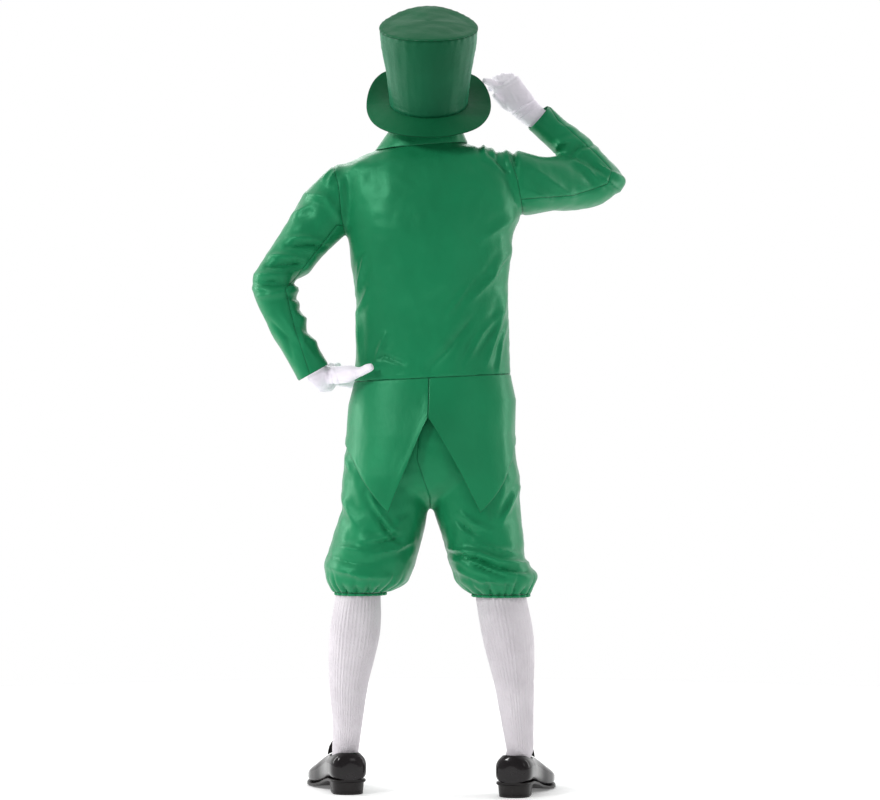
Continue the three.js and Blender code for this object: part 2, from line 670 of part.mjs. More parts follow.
// Collar: a stand and a fall in one strip over the neck's edge, open at the middle of the front
function addCollar() {
  const neck = coatSections[coatSections.length - 1];
  const shoulder = coatSections[coatSections.length - 2];
  const start = -90 + COLLAR_FRONT_GAP;
  const sweep = 360 - 2 * COLLAR_FRONT_GAP;
  const sheet = [];
  for (let i = 0; i <= COLLAR_STEPS; i += 1) {
    const angle = ((start + (sweep * i) / COLLAR_STEPS) * Math.PI) / 180;
    const from = sectionPoint(neck, angle, COAT_WALL / 2);
    const to = sectionPoint(shoulder, angle, 0);
    const lean = (COLLAR_LEAN * (1 - Math.cos(angle))) / 2;
    sheet.push(COLLAR_LINES.map(([share, rise]) => {
      const point = from.clone().lerp(to, share * (1 - lean));
      point.z += rise * (1 - lean / 2);
      return point;
    }));
  }
  addNode('collar', wall(sheet, offsetSheet(sheet, COAT_WALL, false), false), GREEN);
}

// Buttons: turned discs with a low rim, on the left front
function addButtons() {
  BUTTON_HEIGHTS.forEach((height, k) => {
    const frontAt = (z) => sectionPoint(sectionAtHeight(coatSections, z), -Math.PI / 2, 0).y;
    const front = Math.min(frontAt(height - BUTTON_RADIUS), frontAt(height), frontAt(height + BUTTON_RADIUS));
    const profile = [[0, 0], [BUTTON_RADIUS, 0], [BUTTON_RADIUS - 1, BUTTON_THICKNESS], [0, BUTTON_THICKNESS]];
    const geometry = new THREE.LatheGeometry(profile.map(([r, h]) => new THREE.Vector2(r, h)), 12);
    geometry.rotateX(Math.PI);
    geometry.translate(0, front - SEAM_GAP, height);
    addNode(`button_${k + 1}`, geometry, GREEN);
  });
}

// Breeches: hips and two legs in one hollow form, cut into four panels and a waistband
// Folds of a leg, and the gathers that grow over its last sections towards the knee
function legRelief(count) {
  return (point, i, j) => {
    const nearHem = Math.min(Math.max(0, (i - count + 1 + GATHERED_SECTIONS) / GATHERED_SECTIONS), 1);
    return foldHeight(point, BREECHES_FOLDS) + (j % 2 === 0 ? 1 : -1) * GATHER_HEIGHT * nearHem;
  };
}

function breechesForm(inset) {
  const reach = inset > 0 ? OPEN_END : 0;
  const hips = extended(sectionsFromEdges(HIPS, true), reach, 0);
  const relief = (point) => foldHeight(point, BREECHES_FOLDS);
  const parts = [loft(hips, HIP_SIDES, { inset, relief })];
  for (const rows of [LEFT_LEG, RIGHT_LEG]) {
    const sections = sectionsFromEdges(rows, true);
    parts.push(loft(extended(sections, 0, reach), LEG_SIDES, { inset, relief: legRelief(sections.length) }));
  }
  return union(parts);
}

function addBreeches() {
  const shell = breechesForm(0).subtract(breechesForm(BREECHES_WALL));
  const bandLine = [[-FAR, WAISTBAND_BOTTOM], [FAR, WAISTBAND_BOTTOM]];
  const [band, rest] = splitAlong(shell, bandLine, [[FAR, 1400], [-FAR, 1400]], 'x', 1);
  addNode('breeches_waistband', geometryFrom(band), GREEN);
  const [left, right] = splitAlong(rest, CENTRE_SEAM, [[FAR, 400], [FAR, 1100]], 'x', 1);
  for (const [side, half, seam] of [['left', left, LEFT_LEG_SEAM], ['right', right, RIGHT_LEG_SEAM]]) {
    const [back, front] = splitAlong(half, seam, [[FAR, 400], [FAR, 1100]], 'y', 1);
    addNode(`breeches_${side}_back`, geometryFrom(back), GREEN);
    addNode(`breeches_${side}_front`, geometryFrom(front), GREEN);
  }
}

// Casings: a narrow puckered band round the lower end of each leg
function addCasing(name, rows) {
  const hem = sectionsFromEdges(rows, true)[rows.length - 1];
  const ringAt = (inset, drop) => {
    const ring = [];
    for (let j = 0; j < CASING_SIDES; j += 1) {
      const pucker = (j % 2 === 0 ? 1 : -1) * CASING_PUCKER;
      const point = sectionPoint(hem, (2 * Math.PI * j) / CASING_SIDES, inset - pucker);
      point.z -= SEAM_GAP + drop;
      ring.push(point);
    }
    return ring;
  };
  const sheetAt = (inset) => {
    const bottom = ringAt(inset, CASING_HEIGHT);
    return ringAt(inset, 0).map((point, j) => [point, bottom[j]]);
  };
  addNode(name, wall(sheetAt(1), sheetAt(1 + BREECHES_WALL), true), GREEN);
}

// The hat's own frame, leaned back and placed
const hatFrame = new THREE.Matrix4().makeRotationX(-THREE.MathUtils.degToRad(HAT_TILT)).setPosition(HAT_BASE);

function hatSection(height, halfWidth, halfDepth) {
  return {
    centre: new THREE.Vector3(0, 0, height),
    along: new THREE.Vector3(0, 0, 1),
    across: new THREE.Vector3(halfWidth, 0, 0),
    depth: new THREE.Vector3(0, halfDepth, 0),
  };
}

// Sinks the soft top at its two front corners, less and less towards the brim
function sagTop(geometry) {
  const points = geometry.attributes.position;
  const [crownHeight] = CROWN[CROWN.length - 1];
  for (let i = 0; i < points.count; i += 1) {
    const height = points.getZ(i);
    const angle = Math.atan2(points.getY(i), points.getX(i));
    const corner = angle < 0 ? Math.sin(2 * angle) ** 2 : 0;
    const outward = Math.min(Math.hypot(points.getX(i), points.getY(i)) / CROWN[0][1], 1);
    points.setZ(i, height - TOP_SAG * corner * outward * Math.max(height / crownHeight, 0) ** 2);
  }
  return geometry;
}

// Crown: a flaring open tube, puckered where the tip is sewn on
function addCrown() {
  const sections = CROWN.map(([height, halfWidth, halfDepth]) => hatSection(height, halfWidth, halfDepth));
  const puckers = (point, i, j) => (i === sections.length - 1 ? CROWN_PUCKER * (j % 2 === 0 ? 1 : -1) : 0);
  const outside = loft(sections, HAT_SIDES, { power: 2, relief: puckers });
  const inside = loft(extended(sections, OPEN_END, OPEN_END), HAT_SIDES, { inset: HAT_WALL, power: 2 });
  addNode('hat_crown', sagTop(geometryFrom(outside.subtract(inside))).applyMatrix4(hatFrame), SATIN);
}

// Tip: a slightly domed disc over the crown's upper edge
function addTip() {
  const [height, halfWidth, halfDepth] = CROWN[CROWN.length - 1];
  const base = height + SEAM_GAP;
  const profile = [[0, 0.985], [TIP_EDGE, 1], [TIP_RISE, 0.7]]; // rise above the seam, share of the crown's size
  const sections = profile.map(([rise, share]) => hatSection(base + rise, halfWidth * share, halfDepth * share));
  const geometry = geometryFrom(loft(sections, HAT_SIDES, { power: 2 }));
  addNode('hat_tip', sagTop(geometry).applyMatrix4(hatFrame), SATIN);
}

// Brim: a ring that lifts between the sides and the front and droops at the back
function brimPoint(angle, share) {
  const [, innerWidth, innerDepth] = CROWN[0];
  const u = Math.cos(angle) * THREE.MathUtils.lerp(innerWidth - HAT_WALL, BRIM_HALF_WIDTH, share);
  const v = Math.sin(angle) * THREE.MathUtils.lerp(innerDepth - HAT_WALL, BRIM_HALF_DEPTH, share);
  const highest = u > 0 ? BRIM_LIFT_LEFT : BRIM_LIFT_RIGHT;
  const lift = highest * (v < 0 ? Math.abs(Math.sin(2 * angle)) : 0);
  const droop = BRIM_DROOP * (v > 0 ? 1 - (1 - Math.sin(angle)) ** 2 : 0);
  const sideFall = BRIM_SIDE_FALL * Math.cos(angle) ** 2;
  const bend = Math.max(0, (share - BRIM_SEAT) / (1 - BRIM_SEAT)) ** 1.4;
  return new THREE.Vector3(u, v, -SEAM_GAP + (lift - droop - sideFall) * bend);
}

function addBrim() {
  const sheetAt = (drop) => {
    const sheet = [];
    for (let i = 0; i < HAT_SIDES; i += 1) {
      const angle = (2 * Math.PI * i) / HAT_SIDES;
      sheet.push(BRIM_LINES.map((share) => {
        const point = brimPoint(angle, share);
        point.z -= drop;
        return point;
      }));
    }
    return sheet;
  };
  addNode('hat_brim', wall(sheetAt(0), sheetAt(HAT_WALL), true).applyMatrix4(hatFrame), SATIN);
}

// Glove: a palm and five fingers in one hollow form, open at the wrist
function addGlove(name, palmRows, fingers) {
  const form = (inset) => {
    const reach = inset > 0 ? OPEN_END : 0;
    const palm = extended(sectionsFromEdges(palmRows), reach, inset > 0 ? -inset : 0);
    const parts = [loft(palm, PALM_SIDES, { inset, power: PALM_POWER })];
    for (const finger of fingers) {
      const sections = sectionsAlongPoints(finger);
      const last = sections[sections.length - 1];
      last.centre.addScaledVector(last.along, -inset);
      parts.push(loft(sections, FINGER_SIDES, { inset, power: 2 }));
    }
    return union(parts);
  };
  addNode(name, geometryFrom(form(0).subtract(form(GLOVE_WALL))), WHITE);
}

// Shoe forms, in the shoe's own frame
function shoeFrame({ heelX, heelY, turn }) {
  const angle = THREE.MathUtils.degToRad(SHOE_SPLAY) * turn;
  const toToe = new THREE.Vector3(Math.sin(angle), -Math.cos(angle), 0);
  const up = new THREE.Vector3(0, 0, 1);
  const across = up.clone().cross(toToe);
  return new THREE.Matrix4().makeBasis(toToe, across, up).setPosition(heelX, heelY, 0);
}

function shoeSections(inset) {
  const plain = inset > 0; // an inside needs fewer sections
  return SHOE_FORM.filter((row, k) => !plain || k % 2 === 0).map(([s, halfWidth, underside, top]) => ({
    centre: new THREE.Vector3(s, 0, (top + underside) / 2),
    along: new THREE.Vector3(1, 0, 0),
    across: new THREE.Vector3(0, halfWidth - inset, 0),
    depth: new THREE.Vector3(0, 0, (top - underside) / 2 - inset),
  }));
}

// The inside of the shoe stops short of the upper at the heel and toe
function footForm(inset) {
  const sections = shoeSections(inset);
  sections[0].centre.x += inset;
  sections[sections.length - 1].centre.x -= inset;
  return loft(sections, inset > 0 ? SHOE_SIDES - 2 : SHOE_SIDES, { power: FOOT_POWER });
}

// The body that cuts the mouth of a shoe open
function mouthForm() {
  const { start, end, halfWidth, floor, top } = SHOE_MOUTH;
  const section = (z) => ({
    centre: new THREE.Vector3((start + end) / 2, 0, z),
    along: new THREE.Vector3(0, 0, 1),
    across: new THREE.Vector3((end - start) / 2, 0, 0),
    depth: new THREE.Vector3(0, halfWidth, 0),
  });
  return loft([section(floor), section(top)], MOUTH_SIDES, { power: MOUTH_POWER });
}

function addShoe(shoe) {
  const frame = shoeFrame(shoe);
  const place = (solid) => geometryFrom(solid).applyMatrix4(frame);
  const upper = footForm(0).subtract(footForm(SHOE_WALL)).subtract(mouthForm());
  addNode(`shoe_${shoe.side}_upper`, place(upper), BLACK);

  const soleRows = SHOE_FORM.map(([s, halfWidth, underside]) => [s, halfWidth + SOLE_LIP, underside]);
  soleRows[0][0] -= SOLE_LIP;
  soleRows[soleRows.length - 1][0] += SOLE_LIP;
  const sheetAt = (drop) => soleRows.map(([s, halfWidth, underside]) => (
    SOLE_SHARES.map((share) => new THREE.Vector3(s, share * halfWidth, underside - SEAM_GAP - drop))
  ));
  addNode(`shoe_${shoe.side}_sole`, wall(sheetAt(0), sheetAt(SOLE_THICKNESS), false).applyMatrix4(frame), BLACK);
  addNode(`shoe_${shoe.side}_heel`, heelBlock().applyMatrix4(frame), BLACK);
  addNode(`shoe_${shoe.side}_flap`, flap().applyMatrix4(frame), BLACK);
}

// Heel block: round at the back and straight across its breast, up to the sole's slanting underside
function heelBlock() {
  const outline = (share) => {
    const points = [];
    for (let k = 0; k <= HEEL.roundSteps; k += 1) {
      const angle = Math.PI / 2 + (Math.PI * k) / HEEL.roundSteps;
      const s = HEEL.start + HEEL.length * HEEL.roundShare * (1 + Math.cos(angle) * share);
      points.push([s, Math.sin(angle) * HEEL.halfWidth * share]);
    }
    const halfBreast = HEEL.halfWidth * HEEL.breast * share;
    points.push([HEEL.start + HEEL.length * share, -halfBreast], [HEEL.start + HEEL.length * share, halfBreast]);
    return points;
  };
  const low = outline(HEEL.foot).map(([s, t]) => new THREE.Vector3(s, t, 0));
  const high = outline(1).map(([s, t]) => new THREE.Vector3(s, t, undersideAt(s) - SOLE_THICKNESS - REST_GAP));
  const count = low.length;
  const points = low.concat(high);
  const lowCentre = points.push(new THREE.Vector3(HEEL.length / 2, 0, 0)) - 1;
  const middle = undersideAt(HEEL.length / 2) - SOLE_THICKNESS - REST_GAP;
  const highCentre = points.push(new THREE.Vector3(HEEL.length / 2, 0, middle)) - 1;
  const triangles = [];
  for (let k = 0; k < count; k += 1) {
    const next = (k + 1) % count;
    triangles.push([k, next, next + count], [k, next + count, k + count]);
    triangles.push([lowCentre, next, k], [highCentre, k + count, next + count]);
  }
  return closedGeometry(points, triangles);
}

// Height of the upper's underside at a place along the foot
function undersideAt(s) {
  const rows = SHOE_FORM;
  let k = 1;
  while (k < rows.length - 1 && rows[k][0] < s) {
    k += 1;
  }
  const t = Math.min(Math.max((s - rows[k - 1][0]) / (rows[k][0] - rows[k - 1][0]), 0), 1);
  return THREE.MathUtils.lerp(rows[k - 1][2], rows[k][2], t);
}

// Flap: a tall tongue that wraps a little round the instep
function flap() {
  const sheet = [0, 0.5, 1].map((rise) => FLAP_SHARES.map((share) => new THREE.Vector3(
    FLAP.s - FLAP.wrap * share ** 2 - FLAP.lean * rise ** 2,
    share * FLAP.halfWidth * (1 - FLAP.narrowing * rise),
    THREE.MathUtils.lerp(FLAP.foot, FLAP.top, rise) - FLAP.fall * share ** 2,
  )));
  return wall(sheet, offsetSheet(sheet, FLAP.wall, false), false);
}

// Stocking: a ribbed leg and a plain foot in one hollow form, open at the top
function addStocking(name, rows, shoe) {
  const frame = shoeFrame(shoe);
  const foot = (inset) => solidFrom(geometryFrom(footForm(inset)).applyMatrix4(frame));
  const sections = sectionsFromEdges(rows, true);
  const ribs = (point, i, j) => (j % 2 === 0 ? RIB_HEIGHT : 0);
  const leg = loft(sections, 2 * STOCKING_RIBS, { power: 2, relief: ribs });
  const hollow = loft(extended(sections, OPEN_END, 0), STOCKING_RIBS, { inset: STOCKING_WALL, power: 2 });
  const outside = SHOE_WALL + SOCK_ROOM;
  const solid = leg.add(foot(outside)).subtract(union([hollow, foot(outside + STOCKING_WALL)]));
  addNode(name, geometryFrom(solid), WHITE);
}

addCoat();
addTail('tail_left', LEFT_TAIL_EDGE);
addTail('tail_right', RIGHT_TAIL_EDGE);
addCollar();
addButtons();
addBreeches();
addCasing('casing_left', LEFT_LEG);
addCasing('casing_right', RIGHT_LEG);
addCrown();
addTip();
addBrim();
addGlove('glove_left', LEFT_PALM, LEFT_FINGERS);
addGlove('glove_right', RIGHT_PALM, RIGHT_FINGERS);
SHOES.forEach(addShoe);
addStocking('stocking_left', LEFT_STOCKING, SHOES[0]);
addStocking('stocking_right', RIGHT_STOCKING, SHOES[1]);

costume.position.z = -HOLD_HEIGHT;

export default costume;
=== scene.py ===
# Looks of a leprechaun costume: tall satin hat, tailcoat, knee breeches, gloves, ribbed stockings and flapped
# shoes, hollow and open as they are worn. The tables are in millimetres, with heights above the floor, and
# every mesh is made in metres in the frame of the solids, whose origin lies between the shoulders.
import math

import bmesh
import bpy
import numpy as np
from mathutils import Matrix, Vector, kdtree, noise


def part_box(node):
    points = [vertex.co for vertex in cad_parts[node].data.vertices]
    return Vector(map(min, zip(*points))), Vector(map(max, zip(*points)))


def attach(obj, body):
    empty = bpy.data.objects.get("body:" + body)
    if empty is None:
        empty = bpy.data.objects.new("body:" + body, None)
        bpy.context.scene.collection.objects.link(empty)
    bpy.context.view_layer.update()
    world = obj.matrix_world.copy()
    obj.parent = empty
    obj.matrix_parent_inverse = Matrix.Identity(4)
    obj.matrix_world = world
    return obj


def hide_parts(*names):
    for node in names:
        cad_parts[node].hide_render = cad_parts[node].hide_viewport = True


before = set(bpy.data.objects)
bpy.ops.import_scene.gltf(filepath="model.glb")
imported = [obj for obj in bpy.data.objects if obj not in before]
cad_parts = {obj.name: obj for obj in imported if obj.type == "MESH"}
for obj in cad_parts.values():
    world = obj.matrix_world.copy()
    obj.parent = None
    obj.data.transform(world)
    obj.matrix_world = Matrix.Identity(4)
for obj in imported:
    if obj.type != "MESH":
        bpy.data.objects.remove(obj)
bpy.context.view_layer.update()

# Driving sizes
HOLD_HEIGHT = 1500
MM = 0.001
COAT_CLOTH = 1.5
BREECHES_CLOTH = 1.4
GLOVE_CLOTH = 1.0
STOCKING_CLOTH = 1.2
HAT_CLOTH = 2.6
SHOE_LEATHER = 2.0
COAT_VOXEL = 4.4
BREECHES_VOXEL = 4.4
GLOVE_VOXEL = 2.4
CUFF_REACH = 75  # a cut across a tube's end takes only what lies nearer than this
KNEE_REACH = 140
WRIST_REACH = 60
OPEN_END = 14  # how far a form runs on past an open end before it is cut there
ROUNDNESS = 2.25
PUCKER_SCALE = 9.0

# Tubes of cloth. A row is one section: its two edges as seen from behind (x and z of each), where it lies in
# depth (y) and half its depth.
COAT_BODY = [
    (178, 959, -189, 977, 0, 119),
    (174, 1020, -187, 1030, 0, 118),
    (174, 1074, -185, 1078, 1, 119),
    (174, 1149, -182, 1152, 4, 122),
    (188, 1247, -189, 1247, 7, 127),
    (194, 1301, -196, 1301, 9, 128),
    (204, 1350, -210, 1356, 10, 122),
    (211, 1400, -208, 1424, 10, 110),
    (220, 1450, -192, 1484, 8, 90),
    (174, 1479, -152, 1502, 6, 80),
    (124, 1499, -106, 1509, 4, 75),
    (76, 1517, -71, 1521, 1, 68),
]
LEFT_SLEEVE = [
    (150, 1340, 160, 1461, 6, 50),
    (196, 1302, 224, 1464, 6, 70),
    (239, 1262, 291, 1402, 12, 68),
    (257, 1243, 319, 1355, 22, 62),
    (283, 1209, 353, 1298, 38, 58),
    (307, 1197, 392, 1236, 53, 56),
    (311, 1176, 413, 1176, 67, 55),
    (291, 1106, 374, 1082, 66, 48),
    (269, 1058, 339, 1020, 62, 44),
    (238, 1001, 304, 958, 60, 41),
]
RIGHT_SLEEVE = [
    (-130, 1468, -140, 1375, 4, 50),
    (-190, 1499, -216, 1351, 0, 70),
    (-254, 1486, -300, 1362, -32, 65),
    (-297, 1489, -397, 1377, -78, 60),
    (-301, 1498, -464, 1428, -100, 60),
    (-289, 1507, -426, 1484, -98, 57),
    (-267, 1526, -376, 1535, -93, 51),
    (-243, 1547, -324, 1575, -86, 45),
    (-222, 1566, -288, 1604, -80, 40),
]
HIPS = [
    (150, 1042, -156, 1048, 0, 102),
    (168, 962, -178, 968, 0, 110),
    (184, 912, -194, 912, 2, 117),
    (191, 835, -198, 835, 5, 124),
    (196, 762, -201, 762, 6, 117),
    (186, 715, -190, 715, 4, 104),
    (120, 680, -120, 680, 2, 66),
    (56, 664, -56, 664, 2, 34),
]
LEFT_LEG = [
    (172, 860, 14, 860, 4, 92),
    (192, 800, 4, 800, 5, 100),
    (206, 740, -1, 740, 5, 106),
    (208, 668, 4, 668, 5, 107),
    (228, 594, 18, 594, 9, 107),
    (244, 545, 31, 545, 13, 108),
    (245, 515, 42, 515, 16, 104),
    (238, 488, 56, 488, 19, 92),
    (224, 469, 100, 469, 22, 64),
]
RIGHT_LEG = [
    (-14, 860, -176, 860, 4, 92),
    (-4, 800, -196, 800, 5, 100),
    (-2, 740, -208, 740, 6, 106),
    (-8, 668, -210, 668, 12, 107),
    (-29, 596, -218, 596, 22, 107),
    (-42, 545, -222, 545, 29, 108),
    (-52, 516, -250, 512, 35, 104),
    (-64, 490, -246, 488, 40, 90),
    (-96, 466, -234, 466, 45, 64),
]
LEFT_STOCKING = [
    (217, 500, 116, 500, 21, 56),
    (219, 462, 115, 462, 22, 58),
    (234, 370, 117, 370, 30, 60),
    (235, 258, 143, 258, 32, 52),
    (227, 170, 157, 170, 26, 41),
    (228, 104, 166, 104, 17, 36),
]
RIGHT_STOCKING = [
    (-109, 500, -223, 500, 43, 56),
    (-107, 460, -224, 460, 44.6, 58),
    (-122, 364, -241, 364, 60, 61),
    (-149, 258, -241, 258, 73, 52),
    (-166, 170, -240, 170, 79, 41),
    (-178, 104, -240, 104, 77, 36),
]
SKIRT = [
    (178, 959, -189, 977, 0, 119),
    (190.6, 908, -202, 914, 2, 127),
    (196, 835, -200.2, 837, 5, 138),
    (210, 740, -215, 740, 8, 147),
    (218, 640, -225, 640, 9, 149),
]

# Creases. A row is one soft ridge, or trough where its height is negative, along a line seen from behind:
# the side it is on (1 back, -1 front, 0 both), its height, its spread, and its points (x, z).
COAT_CREASES = [
    (1, 4.2, 17, [(-204, 1343), (-153, 1309), (-123, 1287)]),
    (1, 5.2, 16, [(-191, 1270), (-148, 1201), (-88, 1138)]),
    (1, 4.6, 15, [(-178, 1159), (-161, 1082), (-127, 988)]),
    (1, -4.2, 18, [(-110, 1117), (-42, 1032), (1, 988)]),
    (1, -4.0, 12, [(-178, 1244), (-153, 1203)]),
    (1, 3.4, 10, [(-168, 1120), (-120, 1070), (-84, 1000)]),
    (1, 3.6, 9, [(-182, 1100), (-168, 1050), (-160, 985)]),
    (1, 2.6, 10, [(-96, 1190), (-40, 1110)]),
    (1, 4.6, 9, [(153, 1246), (170, 1160)]),
    (1, 3.0, 8, [(166, 1240), (171, 1190)]),
    (1, 4.8, 9, [(147, 1168), (168, 1120), (164, 1010)]),
    (1, 4.0, 10, [(127, 1003), (103, 1067)]),
    (1, -3.6, 9, [(132, 1008), (108, 1018), (61, 1001)]),
    (0, -3.6, 9, [(-134, 1491), (-162, 1466), (-183, 1445)]),
    (0, 4.6, 9, [(-118, 1540), (-128, 1478)]),
    (0, -4.8, 9, [(-150, 1530), (-160, 1470)]),
    (0, 5.2, 9, [(-172, 1530), (-184, 1460)]),
    (0, -4.0, 8, [(-192, 1520), (-200, 1465)]),
    (0, 1.6, 14, [(160, 1470), (196, 1440), (206, 1400)]),
    (-1, 4.4, 18, [(-200, 1335), (-150, 1290), (-80, 1245)]),
    (-1, 4.4, 18, [(190, 1295), (140, 1240), (90, 1195)]),
    (-1, -3.4, 18, [(-170, 1145), (-110, 1070), (-50, 1005)]),
    (-1, 4.2, 16, [(165, 1125), (120, 1050), (60, 995)]),
    (-1, 3.0, 13, [(-150, 1100), (-120, 1040), (-100, 985)]),
    (-1, 2.6, 15, [(60, 1440), (70, 1370), (50, 1300)]),
    (-1, -2.4, 16, [(-80, 1450), (-70, 1370), (-90, 1300)]),
]
LEFT_SLEEVE_CREASES = [
    (0, 4.2, 14, [(290, 1396), (241, 1385), (209, 1337)]),
    (0, -5.5, 10, [(330, 1274), (241, 1273)]),
    (0, 4.6, 12, [(322, 1292), (262, 1290)]),
    (0, -6.0, 9, [(376, 1226), (292, 1230)]),
    (0, 5.4, 13, [(372, 1250), (296, 1246)]),
    (0, -7.0, 9, [(409, 1184), (360, 1180), (308, 1184)]),
    (0, -4.0, 7, [(392, 1192), (340, 1188)]),
    (0, 5.0, 11, [(404, 1206), (322, 1204)]),
    (0, 4.6, 12, [(396, 1156), (316, 1166)]),
    (0, 4.4, 9, [(236, 1420), (218, 1452)]),
    (0, 3.6, 8, [(250, 1425), (228, 1456)]),
    (0, 3.0, 13, [(320, 1345), (278, 1368)]),
    (0, 3.0, 12, [(345, 1120), (311, 1074), (284, 1010)]),
    (0, -3.0, 11, [(372, 1100), (330, 1060), (318, 1010)]),
    (0, 2.8, 10, [(300, 1100), (292, 1050), (262, 1010)]),
    (0, 5.0, 17, [(300, 1177), (332, 1172)]),
    (0, -3.2, 14, [(292, 1150), (330, 1155)]),
    (0, -2.8, 14, [(280, 1124), (314, 1130)]),
    (0, 4.4, 18, [(266, 1096), (306, 1110)]),
    (0, -2.4, 14, [(256, 1068), (292, 1082)]),
    (0, 3.2, 17, [(244, 1042), (280, 1058)]),
]
RIGHT_SLEEVE_CREASES = [
    (0, 5.0, 12, [(-295, 1503), (-304, 1520), (-337, 1529)]),
    (0, -5.4, 11, [(-328, 1487), (-353, 1512), (-386, 1520)]),
    (0, 5.4, 12, [(-331, 1482), (-370, 1456), (-403, 1423)]),
    (0, 4.4, 11, [(-397, 1443), (-450, 1410)]),
    (0, -4.0, 11, [(-372, 1478), (-410, 1452)]),
    (0, -3.6, 11, [(-188, 1505), (-198, 1470), (-204, 1437)]),
    (0, 3.4, 15, [(-240, 1455), (-290, 1420), (-330, 1395)]),
    (0, 3.0, 13, [(-236, 1400), (-280, 1384)]),
    (0, 2.8, 12, [(-300, 1560), (-340, 1556)]),
]
BREECHES_CREASES = [
    (0, 7.5, 13, [(-45, 572), (-115, 562), (-160, 545), (-226, 536)]),
    (0, -6.5, 9, [(-45, 560), (-115, 549), (-158, 531), (-222, 521)]),
    (0, -5.5, 8, [(-80, 545), (-130, 524), (-172, 511)]),
    (0, 3.4, 10, [(-60, 525), (-120, 500), (-190, 496)]),
    (0, 5.4, 11, [(-206, 712), (-168, 634)]),
    (0, 4.6, 10, [(-100, 588), (-150, 574), (-214, 556)]),
    (0, -4.2, 9, [(-60, 640), (-84, 620), (-112, 604)]),
    (0, 3.4, 10, [(-70, 656), (-100, 632), (-140, 616)]),
    (0, 4.4, 14, [(196, 793), (185, 745)]),
    (0, 5.4, 15, [(203, 694), (178, 636)]),
    (0, 5.0, 14, [(208, 576), (150, 566)]),
    (0, -5.0, 13, [(130, 584), (69, 600)]),
    (0, 4.6, 11, [(130, 560), (80, 570), (40, 590)]),
    (0, -4.6, 10, [(124, 660), (104, 622), (70, 590)]),
    (0, 4.2, 10, [(140, 700), (112, 650), (80, 610)]),
    (0, 5.0, 13, [(238, 530), (160, 510), (90, 508)]),
    (0, 4.0, 12, [(60, 640), (100, 600), (160, 590)]),
    (0, -4.0, 12, [(236, 556), (180, 540), (120, 540)]),
    (-1, 3.4, 16, [(10, 720), (70, 760), (130, 772)]),
    (-1, 3.4, 16, [(-8, 720), (-70, 756), (-130, 764)]),
]

LEFT_GLOVE_CREASES = [
    (0, -1.8, 3.2, [(232, 992), (222, 945)]),
    (0, -1.5, 3.0, [(221, 992), (209, 950)]),
    (0, 1.4, 3.4, [(240, 985), (236, 950)]),
]
RIGHT_GLOVE_CREASES = [
    (1, 4.2, 3.2, [(-190, 1588), (-246, 1624)]),
    (1, -2.4, 2.8, [(-196, 1580), (-252, 1617)]),
    (1, 2.6, 2.6, [(-202, 1574), (-258, 1610)]),
    (1, -3.4, 3.4, [(-150, 1654), (-174, 1664), (-206, 1683)]),
    (1, 2.6, 3.0, [(-156, 1646), (-178, 1656), (-208, 1674)]),
    (1, -1.8, 2.6, [(-168, 1672), (-174, 1656)]),
    (1, -1.8, 2.6, [(-184, 1682), (-190, 1662)]),
    (1, 1.2, 4.0, [(-186, 1650), (-206, 1612)]),
]

# Seams as lines seen from behind (x, z) or from the side (y, z)
LEFT_ARMHOLE = [(236, 1520), (222, 1456), (211, 1407), (206, 1351), (197, 1302), (213, 1268), (213, 900)]
RIGHT_ARMHOLE = [(-168, 1640), (-178, 1506), (-202, 1433), (-217, 1351), (-219, 1200)]
LEFT_SLEEVE_SEAM = [(150, 1320), (215, 1322), (290, 1226), (333, 1172), (311, 1080), (282, 990), (262, 930)]
RIGHT_SLEEVE_SEAM = [
    (-120, 1375), (-230, 1383), (-335, 1394), (-418, 1424),
    (-428, 1458), (-392, 1496), (-300, 1577), (-262, 1640),
]
FRONT_EDGE_X = -14
CENTRE_SEAM = [(-3, 1100), (6, 960), (26, 850), (30, 780), (0, 690), (0, 400)]
LEFT_LEG_SEAM = [(0, 1100), (2, 912), (5, 700), (9, 594), (16, 515), (22, 400)]
RIGHT_LEG_SEAM = [(0, 1100), (2, 912), (10, 700), (22, 596), (35, 514), (45, 400)]
WAISTBAND_BOTTOM = 1006
GATHERS = 20  # round each knee
GATHER_HEIGHT = 4.6
GATHER_REACH = 62  # how far up the leg they run
LEFT_GATHER_SEED = 1.0
RIGHT_GATHER_SEED = 2.3

# A tail's lower edge, from the middle of the back to the front: angle round the skirt in degrees, and height
LEFT_TAIL_EDGE = [
    (88.2, 876), (77.5, 768), (66, 657), (50, 714), (32, 772),
    (14, 806), (-4, 824), (-24, 880), (-44, 946),
]
RIGHT_TAIL_EDGE = [
    (88.5, 876), (103.5, 768), (118.5, 657), (134, 706), (150, 765),
    (166, 806), (184, 826), (204, 884), (224, 958),
]
TAIL_ROWS = 56
TAIL_STAND_OFF = 11  # of the inner edge at its tip

# Collar: share of the way out from the neck to the shoulder, and rise above the coat
COLLAR_LINES = [(0, 1), (0.06, 24), (0.26, 40), (0.74, 19), (1.08, 2)]
COLLAR_LEAN = 0.55
COLLAR_FRONT_GAP = 7

# Hat, in its own frame: u to the left, v to the back, w up through the crown
HAT_BASE = (3, -5, 1613)
HAT_TILT = 24.5
CROWN = [(0, 92, 110), (70, 100, 117), (140, 110.5, 127), (194, 115, 131)]
HAT_SIDES = 240
HAT_PINCHES = 34  # round the tip's seam
TIP_RISE = 4.5
TIP_CLOTH = 1.6
TOP_SAG = 4
SIDE_SAG = 11
BRIM_HALF_WIDTH = 146
BRIM_HALF_DEPTH = 166
BRIM_LIFT_LEFT = 40
BRIM_LIFT_RIGHT = 30
BRIM_DROOP = 25
BRIM_SIDE_FALL = 6

